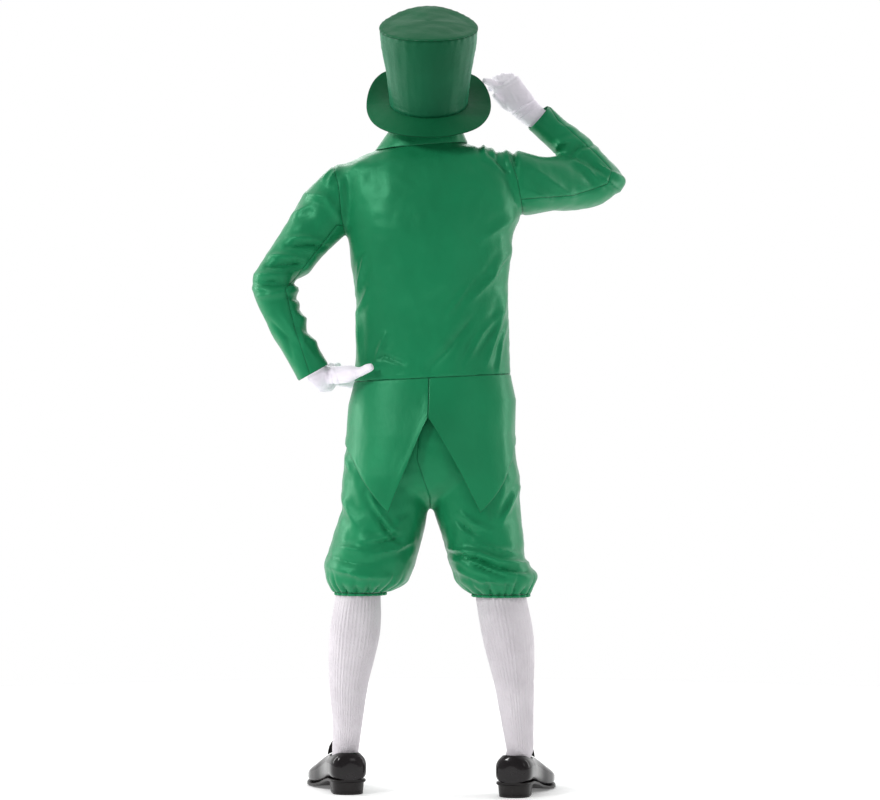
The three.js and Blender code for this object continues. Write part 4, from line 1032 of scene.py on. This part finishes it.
def build_tail(name, node, edge, seed):
    """A pointed panel that hangs from the waist seam over the breeches."""
    skirt = sections_from_edges(SKIRT, 1, upright=True)
    waist = skirt[0][0][2]
    table = np.array(edge, dtype=float)
    steps = np.linspace(0, len(table) - 1, 10 * (len(table) - 1) + 1)
    grid = []
    for step in steps:
        degrees, lowest = (np.interp(step, range(len(table)), table[:, k]) for k in (0, 1))
        angle = math.radians(degrees)
        out = np.array([math.cos(angle), math.sin(angle), 0.0])
        top = skirt_point(skirt, angle, waist)[2]
        line = []
        for k in range(TAIL_ROWS + 1):
            t = k / TAIL_ROWS
            point = skirt_point(skirt, angle, waist - (waist - lowest) * t)
            wave = 2.2 * math.sin(math.radians(degrees) * 7 + seed) * t
            wave += 1.6 * noise.noise(Vector((degrees / 12 + seed, t * 3, seed))) * (0.3 + t)
            stand_off = TAIL_STAND_OFF * t**1.3 * math.exp(-abs(degrees - edge[0][0]) / 16)
            point = point + out * (wave * 0.6 - 0.8 + stand_off)
            point[2] = top - 0.3 + (lowest - top) * t
            line.append(point)
        grid.append(line)
    piece = outward(sheet_mesh(name, np.array(grid)))
    face_away(piece, Vector((0, 0, 0)))
    finish_cloth(piece, COAT_CLOTH, seam_depth=0.5, pucker=0.7, seed=seed)
    register(piece, node, coat_cloth)


def turn_faces(piece, score):
    """Flips a sheet's faces if their score, summed over its area, is negative."""
    mesh = piece.data
    if sum(score(polygon) * polygon.area for polygon in mesh.polygons) < 0:
        mesh.flip_normals()
        mesh.update()


def face_away(piece, centre):
    """Turns a sheet's faces so that they look away from a centre line."""
    level = Vector((1, 1, 0))
    turn_faces(piece, lambda polygon: polygon.normal.dot((Vector(polygon.center) - centre) * level))


def face_up(piece):
    turn_faces(piece, lambda polygon: polygon.normal.z)


def build_collar():
    """A turned-down sheet round the neck, lower and narrower at the wearer's right."""
    body = sections_from_edges(COAT_BODY, 1, upright=True)
    centres, across, depth, _ = body

    def ring_point(k, angle, inset):
        width = 1 - inset / np.linalg.norm(across[k])
        deep = 1 - inset / np.linalg.norm(depth[k])
        u, v = rounded(np.cos(angle), ROUNDNESS), rounded(np.sin(angle), ROUNDNESS)
        return centres[k] + across[k] * u * width + depth[k] * v * deep

    start = -90 + COLLAR_FRONT_GAP
    sweep = 360 - 2 * COLLAR_FRONT_GAP
    steps = 160
    grid = []
    lines = smooth_rows(COLLAR_LINES, 7)
    for i in range(steps + 1):
        angle = math.radians(start + sweep * i / steps)
        inner, outer = ring_point(-1, angle, 0.4), ring_point(-2, angle, 0.0)
        lean = COLLAR_LEAN * (1 - math.cos(angle)) / 2
        row = []
        for share, rise in lines:
            point = inner + (outer - inner) * share * (1 - lean)
            point[2] += rise * (1 - lean / 2) + 1.2 * noise.noise(Vector((angle * 4, share * 2, 4.0)))
            row.append(point)
        grid.append(row)
    piece = outward(sheet_mesh("coat_collar", np.array(grid)))
    finish_cloth(piece, 1.8, seam_depth=0.4, pucker=0.6, seed=5.0)
    register(piece, "collar", coat_cloth)


# Breeches
def gather_wave(angle, seed):
    """Narrow pinches with round cloth between them, unevenly spaced round a knee."""
    drift = 1.1 * np.sin(angle * 2 + seed) + 0.9 * np.sin(angle * 5 + seed * 2)
    wave = np.cos(angle * GATHERS + drift)
    return 0.3 * wave - 0.9 * np.maximum(0, -wave) ** 3


def gather_heights(points, leg_rows, seed):
    """Gathers that grow towards the knee, some longer than others, round each leg's own middle."""
    hem = leg_rows[-1]
    centre_x = (hem[0] + hem[2]) / 2
    hem_z = (hem[1] + hem[3]) / 2
    angle = np.arctan2(points[:, 1] - hem[4], points[:, 0] - centre_x)
    reach = GATHER_REACH * (0.75 + 0.35 * np.sin(angle * 7 + seed * 3))
    near = np.clip(1 - (points[:, 2] - hem_z) / reach, 0, 1) ** 1.4
    same_leg = np.sign(points[:, 0]) == np.sign(centre_x)
    return np.where(same_leg, GATHER_HEIGHT * near * gather_wave(angle, seed), 0.0)


def build_breeches():
    """The waistband and a back and front panel for each leg, from one skin."""
    hips = sections_from_edges(HIPS, 5, upright=True)
    tubes = [closed_tube(ring_points(extended(hips, OPEN_END, 0), 128))]
    legs = []
    for rows in (LEFT_LEG, RIGHT_LEG):
        sections = sections_from_edges(rows, 5, upright=True)
        legs.append(sections)
        tubes.append(closed_tube(ring_points(extended(sections, 0, OPEN_END), 128)))
    skin = joined_and_remeshed("breeches_skin", tubes, BREECHES_VOXEL, 9)
    points = points_of(skin.data)
    height = crease_heights(points, BREECHES_CREASES, 5.0)
    height += 2.6 * ripples(points * [1, 1, 0.7], 62, 3.0) + 1.1 * ripples(points, 24, 4.0)
    for rows, seed in ((LEFT_LEG, LEFT_GATHER_SEED), (RIGHT_LEG, RIGHT_GATHER_SEED)):
        height += gather_heights(points, rows, seed)
    under_coat = np.clip((points[:, 2] - 850) / 60, 0, 1)
    height = np.clip(height * 1.25, -9, 7.5) * (1 - 0.8 * under_coat) - 0.6
    set_points(skin.data, points + normals_of(skin.data) * height[:, None])
    skin = halves(skin, lambda p: 1042 + (p[:, 0] - 150) * -0.0196 - p[:, 2], ("breeches_skin", None))[0]
    for sections in legs:
        skin = halves(skin, end_field(sections, -1, KNEE_REACH), ("breeches_skin", None))[0]
    band, rest = halves(skin, plane_field(2, WAISTBAND_BOTTOM), ("breeches_band", "breeches_rest"))
    left, right = halves(rest, seam_field(CENTRE_SEAM), ("breeches_left", "breeches_right"))
    finish_cloth(band, BREECHES_CLOTH)
    register(band, "breeches_waistband", breeches_cloth)
    for side, half, seam in (("left", left, LEFT_LEG_SEAM), ("right", right, RIGHT_LEG_SEAM)):
        names = (f"breeches_{side}_back_panel", f"breeches_{side}_front_panel")
        back, front = halves(half, seam_field(seam, (1, 2)), names)
        for piece, way in ((back, "back"), (front, "front")):
            finish_cloth(piece, BREECHES_CLOTH)
            register(piece, f"breeches_{side}_{way}", breeches_cloth)


def build_casing(side, rows, seed):
    """The narrow gathered band with the elastic, below a leg."""
    sections = sections_from_edges(rows, 1, upright=True)
    last = tuple(part[-1:] for part in sections)
    middle = last[0][0]
    rings = []
    for inset, drop in CASING_PROFILE:
        ring = ring_points(last, CASING_SIDES, inset=1.6 + inset)[0].copy()
        for j in range(CASING_SIDES):
            way = ring[j] - middle
            way[2] = 0
            angle = math.atan2(way[1], way[0])
            swell = 3.4 * float(gather_wave(angle, seed)) + 0.7
            swell += 0.4 * noise.noise(Vector((angle * 6, drop, 7.0)))
            ring[j] = ring[j] + way / np.linalg.norm(way) * swell
        ring[:, 2] -= drop
        rings.append(ring)
    faces = grid_faces(len(CASING_PROFILE), CASING_SIDES, True)
    piece = outward(mesh_from(f"knee_casing_{side}", rings, faces))
    face_away(piece, Vector((middle[0] * MM, middle[1] * MM, 0)))
    finish_cloth(piece, 0.8, seam_depth=0.2, pucker=0.2, seed=6.0)
    register(piece, f"casing_{side}", casing_cloth)


# Hat
def hat_to_floor(points):
    tilt = math.radians(HAT_TILT)
    u, v, w = points[..., 0], points[..., 1], points[..., 2]
    x = HAT_BASE[0] + u
    y = HAT_BASE[1] + v * math.cos(tilt) + w * math.sin(tilt)
    z = HAT_BASE[2] - v * math.sin(tilt) + w * math.cos(tilt)
    return np.stack([x, y, z], axis=-1)


def top_sag(u, v, w):
    """How far the soft top sinks at its sides and at its two front corners."""
    angle = np.arctan2(v, u)
    corner = np.where(v < 0, np.sin(2 * angle) ** 2, 0)
    outward_share = np.minimum(np.hypot(u, v) / CROWN[0][1], 1)
    sink = TOP_SAG * corner * outward_share + SIDE_SAG * np.cos(angle) ** 2 * outward_share**2
    return sink * np.maximum(w / CROWN[-1][0], 0) ** 2


def pinches(angle):
    """Small pinches along the seam between the crown's side and its tip."""
    return math.cos(angle * HAT_PINCHES + 1.6 * math.sin(angle * 3))


def build_crown():
    """The hat's side, with faint lengthwise ripples."""
    rows = smooth_rows(CROWN, 22)
    angles = np.linspace(0, 2 * math.pi, HAT_SIDES, endpoint=False)
    grid = np.zeros((len(rows), HAT_SIDES, 3))
    for i, (height, half_width, half_depth) in enumerate(rows):
        below = CROWN[-1][0] - height
        for j, angle in enumerate(angles):
            u, v = math.cos(angle), math.sin(angle)
            pucker = math.exp(-below / 9) * pinches(angle)
            ripple = noise.noise(Vector((u * 2.2, v * 2.2, height / 60)))
            bands = 0.7 * noise.noise(Vector((angle * 1.5, height / 7, 3.0))) * abs(u) ** 2
            streak = 0.8 * noise.noise(Vector((angle * 7, height / 90, 9.0)))
            swell = -1.1 + pucker + ripple + bands + streak
            grid[i, j] = (u * (half_width + swell), v * (half_depth + swell), height)
    grid[..., 2] -= top_sag(grid[..., 0], grid[..., 1], grid[..., 2])
    grid[0, :, 2] -= 1.2
    faces = grid_faces(len(rows), HAT_SIDES, True)
    piece = outward(mesh_from("hat_crown_side", hat_to_floor(grid), faces))
    finish_cloth(piece, HAT_CLOTH, seam_depth=0.8, pucker=0.3, seed=8.0)
    register(piece, "hat_crown", hat_satin)


def build_tip():
    """The hat's top, a little higher in the middle, with a rounded edge."""
    _, half_width, half_depth = CROWN[-1]
    rings = 26
    points = []
    base = CROWN[-1][0] + 0.3
    for k in range(rings + 1):
        share = 1 - k / rings * 0.985
        for j in range(HAT_SIDES):
            angle = 2 * math.pi * j / HAT_SIDES
            u, v = math.cos(angle) * half_width * share, math.sin(angle) * half_depth * share
            lift = TIP_RISE * (1 - share**7)
            gather = 0.9 * (share**24) * pinches(angle)
            dent = 1.1 * noise.noise(Vector((u / 34, v / 34, 2.0)))
            w = base + lift + (gather + dent) * (1 - share) ** 0.2 - 0.6
            points.append((u, v, w))
    centre = len(points)
    points.append((0, 0, base + TIP_RISE - 0.8))
    faces = grid_faces(rings + 1, HAT_SIDES, True)
    for j in range(HAT_SIDES):
        faces.append((rings * HAT_SIDES + j, rings * HAT_SIDES + (j + 1) % HAT_SIDES, centre))
    grid = np.array(points, dtype=float)
    grid[:, 2] -= top_sag(grid[:, 0], grid[:, 1], grid[:, 2])
    piece = outward(mesh_from("hat_tip_disc", hat_to_floor(grid), faces))
    face_up(piece)
    finish_cloth(piece, TIP_CLOTH, seam_depth=1.0, pucker=0.4, seed=9.0)
    register(piece, "hat_tip", brim_cloth)


def brim_point(angle, share):
    """A point of the brim, which curls up at both sides of the front and droops at the back."""
    _, inner_width, inner_depth = CROWN[0]
    inner_width, inner_depth = inner_width - 5.0, inner_depth - 5.0
    u = math.cos(angle) * (inner_width + (BRIM_HALF_WIDTH - inner_width) * share)
    v = math.sin(angle) * (inner_depth + (BRIM_HALF_DEPTH - inner_depth) * share)
    highest = BRIM_LIFT_LEFT * (1 + math.cos(angle)) / 2 + BRIM_LIFT_RIGHT * (1 - math.cos(angle)) / 2
    lift = highest * abs(math.sin(2 * angle)) if v < 0 else 0.0
    droop = BRIM_DROOP * (1 - (1 - math.sin(angle)) ** 2) if v > 0 else 0.0
    side_fall = BRIM_SIDE_FALL * math.cos(angle) ** 2
    bend = max(0.0, (share - 0.08) / 0.92) ** 1.4
    return u, v, -0.3 + (lift - droop - side_fall) * bend


def build_brim():
    rings = 24
    points = []
    for k in range(rings + 1):
        share = k / rings
        ridge = 0.5 * math.exp(-(((1 - share) * 55 - 1.5) / 2.5) ** 2)
        for j in range(HAT_SIDES):
            angle = 2 * math.pi * j / HAT_SIDES
            u, v, w = brim_point(angle, share)
            wave = 2.2 * noise.noise(Vector((math.cos(angle) * 2, math.sin(angle) * 2, share * 1.5)))
            points.append((u, v, w - 0.4 + wave * share**1.5 * 0.8 + ridge))
    faces = grid_faces(rings + 1, HAT_SIDES, True)
    piece = outward(mesh_from("hat_brim_ring", hat_to_floor(np.array(points)), faces))
    face_up(piece)
    finish_cloth(piece, HAT_CLOTH, seam_depth=0.5, pucker=0.5, seed=10.0)
    register(piece, "hat_brim", brim_cloth)


# Gloves
def build_glove(side, palm_rows, fingers, creases, seed):
    """A palm, four fingers and a thumb under one skin, open at the wrist."""
    palm = sections_from_edges(palm_rows, 6)
    tubes = [closed_tube(ring_points(extended(palm, OPEN_END, 0), 48, 2.4))]
    for finger in fingers:
        rings = ring_points(sections_along_points(finger, 6), 24, 2.0)
        tubes.append(closed_tube(rings))
    skin = joined_and_remeshed(f"glove_{side}_skin", tubes, GLOVE_VOXEL, 7)
    points = points_of(skin.data)
    start = palm[0][0]
    from_wrist = (points - start) @ palm[3][0]
    wrist = np.exp(-((from_wrist - 12) / 14) ** 2)
    rings = 0.8 * wrist * np.cos(from_wrist / 2.1 + 2.0 * ripples(points, 22, seed))
    height = rings + 1.3 * ripples(points, 16, seed + 1) + 0.6 * ripples(points, 6, seed + 2)
    height += crease_heights(points, creases, palm[0][0][1])
    set_points(skin.data, points + normals_of(skin.data) * (height - 0.3)[:, None])
    skin = halves(skin, end_field(palm, 0, WRIST_REACH), (f"glove_{side}_satin", None))[0]
    skin.name = f"satin_glove_{side}"
    finish_cloth(skin, GLOVE_CLOTH, seam_depth=0.2, pucker=0.2, seed=seed)
    register(skin, f"glove_{side}", glove_cloth)


# Shoes and stockings
def shoe_basis(side):
    """(back of the heel on the floor, way to the toe, way across) of a shoe."""
    heel_x, heel_y, turn = SHOES[side]
    angle = math.radians(SHOE_SPLAY) * turn
    to_toe = np.array([math.sin(angle), -math.cos(angle), 0.0])
    across = np.cross([0.0, 0.0, 1.0], to_toe)
    return np.array([heel_x, heel_y, 0.0]), to_toe, across


def shoe_to_floor(side, points):
    heel, to_toe, across = shoe_basis(side)
    up = np.array([0.0, 0.0, 1.0])
    points = np.asarray(points, dtype=float)
    return heel + points[..., 0:1] * to_toe + points[..., 1:2] * across + points[..., 2:3] * up


def build_upper(side):
    """The leather round the foot, with the mouth cut out of its top."""
    rows = smooth_rows(SHOE_FORM, 7)
    sides = 96
    angles = np.linspace(0, 2 * math.pi, sides, endpoint=False)
    squareness = np.where(np.sin(angles) < 0, 4.6, 2.3)
    v = rounded(np.sin(angles), squareness)
    taper = 1 - 0.08 * np.clip(v, 0, 1)
    rings = []
    for s, half_width, underside, top in rows:
        u = rounded(np.cos(angles), squareness) * half_width * taper
        z = (top + underside) / 2 + v * (top - underside) / 2
        crease = 1.1 * np.exp(-(((s - 186) / 9) ** 2)) * np.clip(v, 0, 1) * np.cos(angles * 6)
        rings.append(np.stack([np.full(sides, s), u, z + crease], axis=1))
    rings = np.array(rings)
    first, last = rings[:1].copy(), rings[-1:].copy()
    for shell, step in ((first, -0.9), (last, 1.2)):
        middle = shell.mean(axis=1, keepdims=True)
        shell[:] = middle + (shell - middle) * 0.6
        shell[..., 0] += step
    rings = np.concatenate([first, rings, last])
    points, faces = closed_tube(shoe_to_floor(side, rings))
    piece = outward(mesh_from(f"shoe_{side}_skin", points, faces))
    heel, to_toe, across = shoe_basis(side)
    start, end, half_width = SHOE_MOUTH

    def mouth(places):
        offset = places - heel
        s, t = offset @ to_toe, offset @ across
        reach = (np.abs(s - (start + end) / 2) / ((end - start) / 2)) ** 2.3
        reach += (np.abs(t) / half_width) ** 2.3
        return np.where(offset[:, 2] > MOUTH_BOTTOM, reach - 1, 1.0)

    piece = halves(piece, mouth, (f"gloss_upper_{side}", None))[0]
    finish_cloth(piece, SHOE_LEATHER, seam_depth=-0.7, pucker=0.05, seed=12.0)
    register(piece, f"shoe_{side}_upper", leather)


def underside_at(s):
    table = np.array(SHOE_FORM, dtype=float)
    return float(np.interp(s, table[:, 0], table[:, 2]))


def build_sole(side):
    """A thin sole that follows the upper's underside and stands out a little round the toe."""
    outline = []
    for s, half_width, _, _ in smooth_rows(SHOE_FORM, 8):
        lip = -1.8 + (SOLE_LIP + 0.6) * min(max((s - 80) / 60, 0), 1)
        outline.append((s, half_width + lip))
    outline[0] = (outline[0][0] + 0.6, outline[0][1])
    outline[-1] = (outline[-1][0] + SOLE_LIP, outline[-1][1])
    shares = [-1, -0.97, -0.8, -0.4, 0, 0.4, 0.8, 0.97, 1]
    rows, columns = len(outline), len(shares)
    layers = []
    for drop, inset in SOLE_LAYERS:
        layer = [(s, share * (w - inset), underside_at(s) - drop) for s, w in outline for share in shares]
        layers.append(np.array(layer))
    loop = [i * columns for i in range(rows)]
    loop += [(rows - 1) * columns + k for k in range(1, columns)]
    loop += [i * columns + columns - 1 for i in range(rows - 2, -1, -1)]
    loop += range(columns - 2, 0, -1)
    rings = np.array([layer[loop] for layer in layers])
    points, faces = closed_tube(shoe_to_floor(side, rings))
    faces = faces[:-2]
    for cap in (layers[0], layers[-1]):
        shift = len(points)
        points += shoe_to_floor(side, cap).tolist()
        faces += [tuple(k + shift for k in face) for face in grid_faces(rows, columns, False)]
    piece = mesh_from(f"rubber_sole_{side}", points, faces)
    weld(piece)
    shade_smooth(piece, 35)
    register(piece, f"shoe_{side}_sole", sole_rubber)


def weld(piece):
    """Joins points that lie together."""
    work = bmesh.new()
    work.from_mesh(piece.data)
    bmesh.ops.remove_doubles(work, verts=work.verts, dist=WELD_DISTANCE * MM)
    bmesh.ops.recalc_face_normals(work, faces=work.faces)
    work.to_mesh(piece.data)
    work.free()


def build_heel(side):
    """A block that is round at the back and flat at the front, with a groove above its tread."""
    start, length, half_width = HEEL
    steps = 40

    def outline(share, inset):
        loop = []
        for k in range(steps + 1):
            angle = math.pi / 2 + math.pi * k / steps
            s = start + length * 0.45 * (1 + math.cos(angle) * share)
            if math.cos(angle) < -0.3:
                s += inset
            loop.append((s, math.sin(angle) * (half_width * share - inset)))
        s, t = start + length * share - inset, half_width * 0.9 * share - inset
        return loop + [(s, -t), (s, t)]

    rings = []
    for level, share, inset in HEEL_LAYERS:
        ring = []
        for s, t in outline(share, inset):
            z = level if level >= 0 else underside_at(s) - SOLE_THICKNESS + level
            ring.append((s, t, z))
        rings.append(ring)
    points, faces = closed_tube(shoe_to_floor(side, np.array(rings)))
    piece = mesh_from(f"heel_block_{side}", points, faces)
    weld(piece)
    shade_smooth(piece, 30)
    register(piece, f"shoe_{side}_heel", sole_rubber)


def build_flap(side):
    """The tall flap at the instep, with a rounded edge."""
    grid = []
    rows, columns = 24, 40
    for i in range(rows + 1):
        rise = i / rows
        line = []
        for j in range(columns + 1):
            share = -1 + 2 * j / columns
            corner = 1 - 0.10 * max(0.0, rise - 0.7) / 0.3 * abs(share) ** 4
            s = 118 - 8 * share**2 - 8 * rise**2 + 0.8
            t = share * 30 * (1 - 0.12 * rise) * corner
            z = 91 + 30 * rise - 6.5 * share**2 - 3.0 * abs(share) ** 5 * rise
            line.append((s, t, z))
        grid.append(line)
    piece = outward(sheet_mesh(f"instep_flap_{side}", shoe_to_floor(side, np.array(grid))))
    finish_cloth(piece, 2.0, seam_depth=0.3, pucker=0.1, seed=13.0)
    register(piece, f"shoe_{side}_flap", leather)


def build_stocking(side, rows):
    """A ribbed leg that turns at the heel into a plain foot, in one tube."""
    centres, across, depth, _ = sections_from_edges(rows, 10, upright=True)
    heel, to_toe, side_way = shoe_basis(side)
    up = np.array([0.0, 0.0, 1.0])
    foot = []
    for s, z, half_depth, lean, half_width in STOCKING_FOOT:
        place = heel + to_toe * s + up * z
        way = -to_toe * math.cos(math.radians(lean)) - up * math.sin(math.radians(lean))
        foot.append(np.concatenate([place, side_way * half_width, way * half_depth]))
    last = np.concatenate([centres[-1], across[-1], depth[-1]])
    for part in (slice(3, 6), slice(6, 9)):
        if foot[0][part] @ last[part] < 0:
            for row in foot:
                row[part] *= -1
    foot = smooth_rows([last] + foot, 2)[1:]
    centres = np.vstack([centres, foot[:, 0:3]])
    across = np.vstack([across, foot[:, 3:6]])
    depth = np.vstack([depth, foot[:, 6:9]])
    sides = RIBS * RIB_SIDES
    rings = ring_points((centres, across, depth, None), sides, 2.0)
    for i, (_, _, height) in enumerate(centres):
        plain = min(max((height - 84) / 30, 0), 1)
        for j in range(sides):
            rib_number = j // RIB_SIDES
            cable = 0.0 if rib_number % CABLE_EVERY else 0.25 * math.sin(i * 1.26)
            strength = 0.75 + 0.6 * noise.noise(Vector((rib_number * 1.7, height / 60, 5.0)))
            rib = RIB_HEIGHT * strength * (math.cos(2 * math.pi * j / RIB_SIDES + cable * 2) + cable)
            wave = 0.8 * noise.noise(Vector((j / 30, height / 40, 11.0)))
            way = rings[i, j] - centres[i]
            rings[i, j] += way / np.linalg.norm(way) * (rib * plain + wave * plain - 0.4)
    faces = grid_faces(len(rings), sides, True)
    faces.append(tuple((len(rings) - 1) * sides + j for j in range(sides)))
    piece = outward(mesh_from(f"ribbed_stocking_{side}", rings, faces))
    finish_cloth(piece, STOCKING_CLOTH, seam_depth=0.0, pucker=0.0, seed=14.0)
    register(piece, f"stocking_{side}", knit)


# Buttons: a disc with a raised rim and a sunken middle
def build_button(number):
    node = f"button_{number}"
    low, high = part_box(node)
    radius = (high[0] - low[0]) / 2 / MM - 0.1
    deep = (high[1] - low[1]) / MM - 0.1
    x, y = (low[0] + high[0]) / 2 / MM, high[1] / MM
    z = (low[2] + high[2]) / 2 / MM + HOLD_HEIGHT
    sides = 48
    points = []
    for share, rise in BUTTON_PROFILE:
        for j in range(sides):
            angle = 2 * math.pi * j / sides
            reach = radius * share
            points.append((math.cos(angle) * reach + x, y - rise * deep, math.sin(angle) * reach + z))
    faces = grid_faces(len(BUTTON_PROFILE), sides, True)
    piece = mesh_from(f"coat_button_{number}", points, faces)
    weld(piece)
    shade_smooth(piece, 60)
    register(piece, node, button_plastic)


build_coat()
build_tail("left_tail", "tail_left", LEFT_TAIL_EDGE, 1.3)
build_tail("right_tail", "tail_right", RIGHT_TAIL_EDGE, 2.9)
build_collar()
build_breeches()
build_casing("left", LEFT_LEG, LEFT_GATHER_SEED)
build_casing("right", RIGHT_LEG, RIGHT_GATHER_SEED)
build_crown()
build_tip()
build_brim()
build_glove("left", LEFT_PALM, LEFT_FINGERS, LEFT_GLOVE_CREASES, 20.0)
build_glove("right", RIGHT_PALM, RIGHT_FINGERS, RIGHT_GLOVE_CREASES, 24.0)
for shoe_side, stocking_rows in (("left", LEFT_STOCKING), ("right", RIGHT_STOCKING)):
    build_upper(shoe_side)
    build_sole(shoe_side)
    build_heel(shoe_side)
    build_flap(shoe_side)
    build_stocking(shoe_side, stocking_rows)
for button_index in range(BUTTON_COUNT):
    build_button(button_index + 1)


# Floor, light and camera
floor_work = bmesh.new()
bmesh.ops.create_circle(floor_work, cap_ends=True, segments=96, radius=FLOOR_RADIUS)
floor_mesh = bpy.data.meshes.new("floor")
floor_work.to_mesh(floor_mesh)
floor_work.free()
floor = add_object("floor", floor_mesh)
floor.location = (0, 0, -HOLD_HEIGHT * MM)
floor_material, _, floor_shader = principled("floor_paper", (0.92, 0.92, 0.92), 0.9)
floor_shader.inputs["Emission Color"].default_value = (1, 1, 1, 1)
floor_shader.inputs["Emission Strength"].default_value = 0.16
floor_mesh.materials.append(floor_material)

# The studio is white behind the costume and a little darker on the side of the camera
world = bpy.data.worlds.new("studio")
world.use_nodes = True
sky = world.node_tree
sky_place = add_node(sky, "ShaderNodeTexCoord")
sky_parts = add_node(sky, "ShaderNodeSeparateXYZ")
sky_light = add_node(sky, "ShaderNodeMapRange")
sky_light.inputs["From Min"].default_value = -0.3
sky_light.inputs["From Max"].default_value = 0.7
sky_light.inputs["To Min"].default_value = 1.0
sky_light.inputs["To Max"].default_value = 0.33
sky.links.new(sky_place.outputs["Generated"], sky_parts.inputs["Vector"])
sky.links.new(sky_parts.outputs["Y"], sky_light.inputs["Value"])
sky.links.new(sky_light.outputs["Result"], sky.nodes["Background"].inputs["Strength"])
sky.nodes["Background"].inputs["Color"].default_value = (1.0, 1.0, 1.0, 1)
bpy.context.scene.world = world
bpy.context.scene.view_settings.view_transform = "Standard"


def area_light(name, place, target, size, power):
    light = bpy.data.lights.new(name, "AREA")
    light.shape = "RECTANGLE"
    light.size, light.size_y = size
    light.energy = power
    lamp = add_object(name, light)
    lamp.location = place
    lamp.rotation_euler = (Vector(target) - Vector(place)).to_track_quat("-Z", "Y").to_euler()


for light_row in LIGHTS:
    area_light(*light_row)

camera_data = bpy.data.cameras.new("camera")
camera_data.lens = CAMERA_LENS
camera_data.sensor_width = 36
camera = add_object("camera", camera_data)
camera.location = CAMERA_PLACE
camera.rotation_euler = (math.radians(90), 0, math.radians(180))
bpy.context.scene.camera = camera
